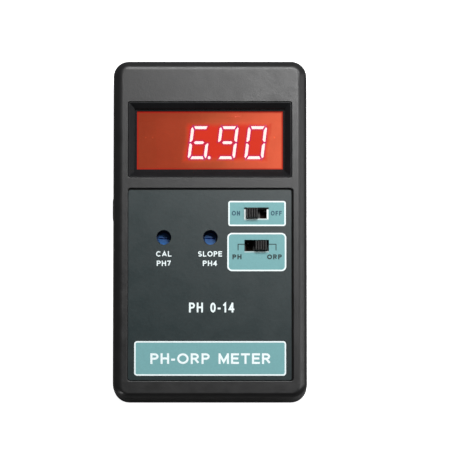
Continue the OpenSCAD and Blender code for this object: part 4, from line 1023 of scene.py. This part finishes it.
def painted_digit_halo():
    """Painted glow: thin rims of saturated light around the lit segments, behind the window."""
    lap, spread, thickness = 0.12 * MM, 0.4 * MM, 0.03 * MM
    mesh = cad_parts["display_segments_lit"].data
    places = [(round(v.co.x, 7), round(v.co.y, 7)) for v in mesh.vertices]
    near = {place: set() for place in places}
    for edge in mesh.edges:
        a, b = (places[i] for i in edge.vertices)
        near[a].add(b)
        near[b].add(a)
    unseen = set(near)
    shape = Shape()
    low_z = LIT_HIGH.z + 0.02 * MM
    while unseen:
        tops, todo = set(), [min(unseen)]
        while todo:
            place = todo.pop()
            if place not in tops:
                tops.add(place)
                todo += near[place] - tops
        unseen -= tops
        middle = sum((Vector(p) for p in tops), Vector((0, 0))) / len(tops)
        points = sorted(tops, key=lambda p: math.atan2(p[1] - middle.y, p[0] - middle.x))
        inner, outer = [], []
        for i, here in enumerate(points):
            here = Vector(here)
            into = (here - Vector(points[i - 1])).normalized()
            away = (Vector(points[(i + 1) % len(points)]) - here).normalized()
            normal = Vector(((into + away).y, -(into + away).x)).normalized()
            reach = 1 / max(0.5, normal.dot(Vector((into.y, -into.x))))
            inner.append(tuple(here - normal * reach * lap))
            outer.append(tuple(here + normal * reach * spread))
        rings = [shape.ring(inner, low_z), shape.ring(outer, low_z), shape.ring(outer, low_z + thickness),
                 shape.ring(inner, low_z + thickness)]
        shape.strips(rings, closed=True)
    return mount(shape.finish("painted_digit_halo", 30, False), LED_HALO_PAINTED, "led_lit")


power_panel()
mode_panel()
trimmer_legends()
title_band()
painted_digit_halo()


# ------------------------------------------------------------------------ CAD nodes kept

NODE_LOOKS = {
    "rear_case": REAR_PLASTIC, "battery_door": REAR_PLASTIC, "window_filter": RED_WINDOW,
    "front_label": LABEL_FILM, "case_screws": SCREW_STEEL, "board_screws": SCREW_STEEL,
    "display_module": LED_BODY, "display_segments_lit": LED_ON, "display_segments_unlit": LED_BODY,
    "display_pins": TIN, "main_board": BOARD_GREEN, "power_switch_frame": SWITCH_STEEL,
    "mode_switch_frame": STEEL_PAINTED_SHADE, "power_switch_base": SWITCH_BROWN, "mode_switch_base": SWITCH_BROWN,
    "power_switch_terminals": TIN, "mode_switch_terminals": TIN, "cal_trimmer_body": TRIMMER_BLUE,
    "slope_trimmer_body": TRIMMER_BLUE, "cal_trimmer_rotor": ROTOR_BLUE, "slope_trimmer_rotor": ROTOR_BLUE,
    "trimmer_pins": TIN, "socket_cup": CUP_PLASTIC, "probe_socket_shell": NICKEL,
    "probe_socket_insulator": INSULATOR, "probe_socket_contact": GOLD, "probe_socket_washer": NICKEL,
    "probe_socket_nut": NICKEL, "probe_wire": VINYL_BLACK, "power_jack_body": JACK_PLASTIC,
    "power_jack_pin": NICKEL, "power_jack_terminals": TIN, "converter_chip": CHIP_PLASTIC,
    "converter_chip_legs": TIN, "converter_socket": CHIP_PLASTIC, "converter_socket_pins": GOLD,
    "amplifier_chip": CHIP_PLASTIC, "amplifier_chip_legs": TIN, "voltage_regulator": CHIP_PLASTIC,
    "voltage_regulator_legs": TIN, "electrolytic_capacitors": SLEEVE_BLUE, "film_capacitors": FILM_RED,
    "capacitor_leads": TIN, "resistors": RESISTOR_TAN, "resistor_leads": TIN, "battery": BATTERY_JACKET,
    "battery_terminals": NICKEL, "battery_snap": VINYL_BLACK, "battery_lead_red": VINYL_RED,
    "battery_lead_black": VINYL_BLACK, "battery_pad": FOAM,
}
for node_name, node_look in NODE_LOOKS.items():
    dress(node_name, node_look)


# ------------------------------------------------------------------------ stage and light

def pale_floor():
    """A plain white floor that is seen from above only and throws little light back."""
    size = 6.0
    data = bpy.data.meshes.new("floor")
    corners = [(-size, -size), (size, -size), (size, size), (-size, size)]
    data.from_pydata([(x, y, -0.05 * MM) for x, y in corners], [], [(0, 1, 2, 3)])
    floor = bpy.data.objects.new("floor", data)
    bpy.context.scene.collection.objects.link(floor)
    look = Look("floor_white", (0.9, 0.9, 0.9), 0.8)
    rays = look.node("ShaderNodeLightPath")
    look.shader.inputs["Emission Color"].default_value = (1, 1, 1, 1)
    seen = rays.outputs["Is Camera Ray"]
    look.link(look.remap(seen, 0, 1, 0.0, 0.95), look.shader.inputs["Emission Strength"])
    shades = [(0, (0.15, 0.15, 0.15)), (1, (0.9, 0.9, 0.9))]
    look.link(look.ramp(seen, shades), look.shader.inputs["Base Color"])
    behind = look.node("ShaderNodeNewGeometry").outputs["Backfacing"]
    look.see_through(look.calculate("SUBTRACT", 1.0, behind))
    paint(floor, look.material)


def soft_light(name, place, aim, size, power):
    """A rectangular light that the camera does not see."""
    data = bpy.data.lights.new(name, "AREA")
    data.shape = "RECTANGLE"
    data.size, data.size_y = size
    data.energy = power
    light = bpy.data.objects.new(name, data)
    light.location = place
    light.rotation_euler = (Vector(aim) - Vector(place)).to_track_quat("-Z", "Y").to_euler()
    light.visible_camera = False
    bpy.context.scene.collection.objects.link(light)


def studio():
    """Faint surroundings, a key light whose reflection gives the sheen, and four fill lights."""
    world = bpy.data.worlds.new("studio")
    world.use_nodes = True
    world.node_tree.nodes["Background"].inputs["Color"].default_value = (0.95, 0.97, 1.0, 1)
    world.node_tree.nodes["Background"].inputs["Strength"].default_value = 0.05
    bpy.context.scene.world = world
    bpy.context.scene.view_settings.view_transform = "Standard"
    middle = (0, 0, 0.02)
    soft_light("key", (0.065, 0.12, 0.38), middle, (0.16, 0.07), 0.55)
    soft_light("top", (0.12, 0.44, 0.56), middle, (0.6, 0.16), 4.7)
    soft_light("right", (0.60, -0.05, 0.45), middle, (0.3, 0.4), 1.0)
    soft_light("edge", (0.55, 0.05, 0.20), middle, (0.3, 0.2), 0.24)
    soft_light("corner", (-0.45, -0.5, 0.12), (-0.03, -0.06, 0.02), (0.06, 0.2), 0.6)


def camera():
    """Straight-on view from a little below the middle, as far off as a long lens stands."""
    elevation = math.radians(84)
    distance = 1.6
    frame_w = 0.1776
    aim = Vector((10.1 * MM, -1.8 * MM, SEAM_Z + 0.5 * MM))
    back = Vector((0, -math.cos(elevation), math.sin(elevation)))
    data = bpy.data.cameras.new("camera")
    data.lens = data.sensor_width * distance / frame_w
    made = bpy.data.objects.new("camera", data)
    made.location = aim + back * distance
    made.rotation_mode = "QUATERNION"
    made.rotation_quaternion = (-back).to_track_quat("-Z", "Y")
    data.clip_end = 20
    bpy.context.scene.collection.objects.link(made)
    bpy.context.scene.camera = made


pale_floor()
studio()
camera()
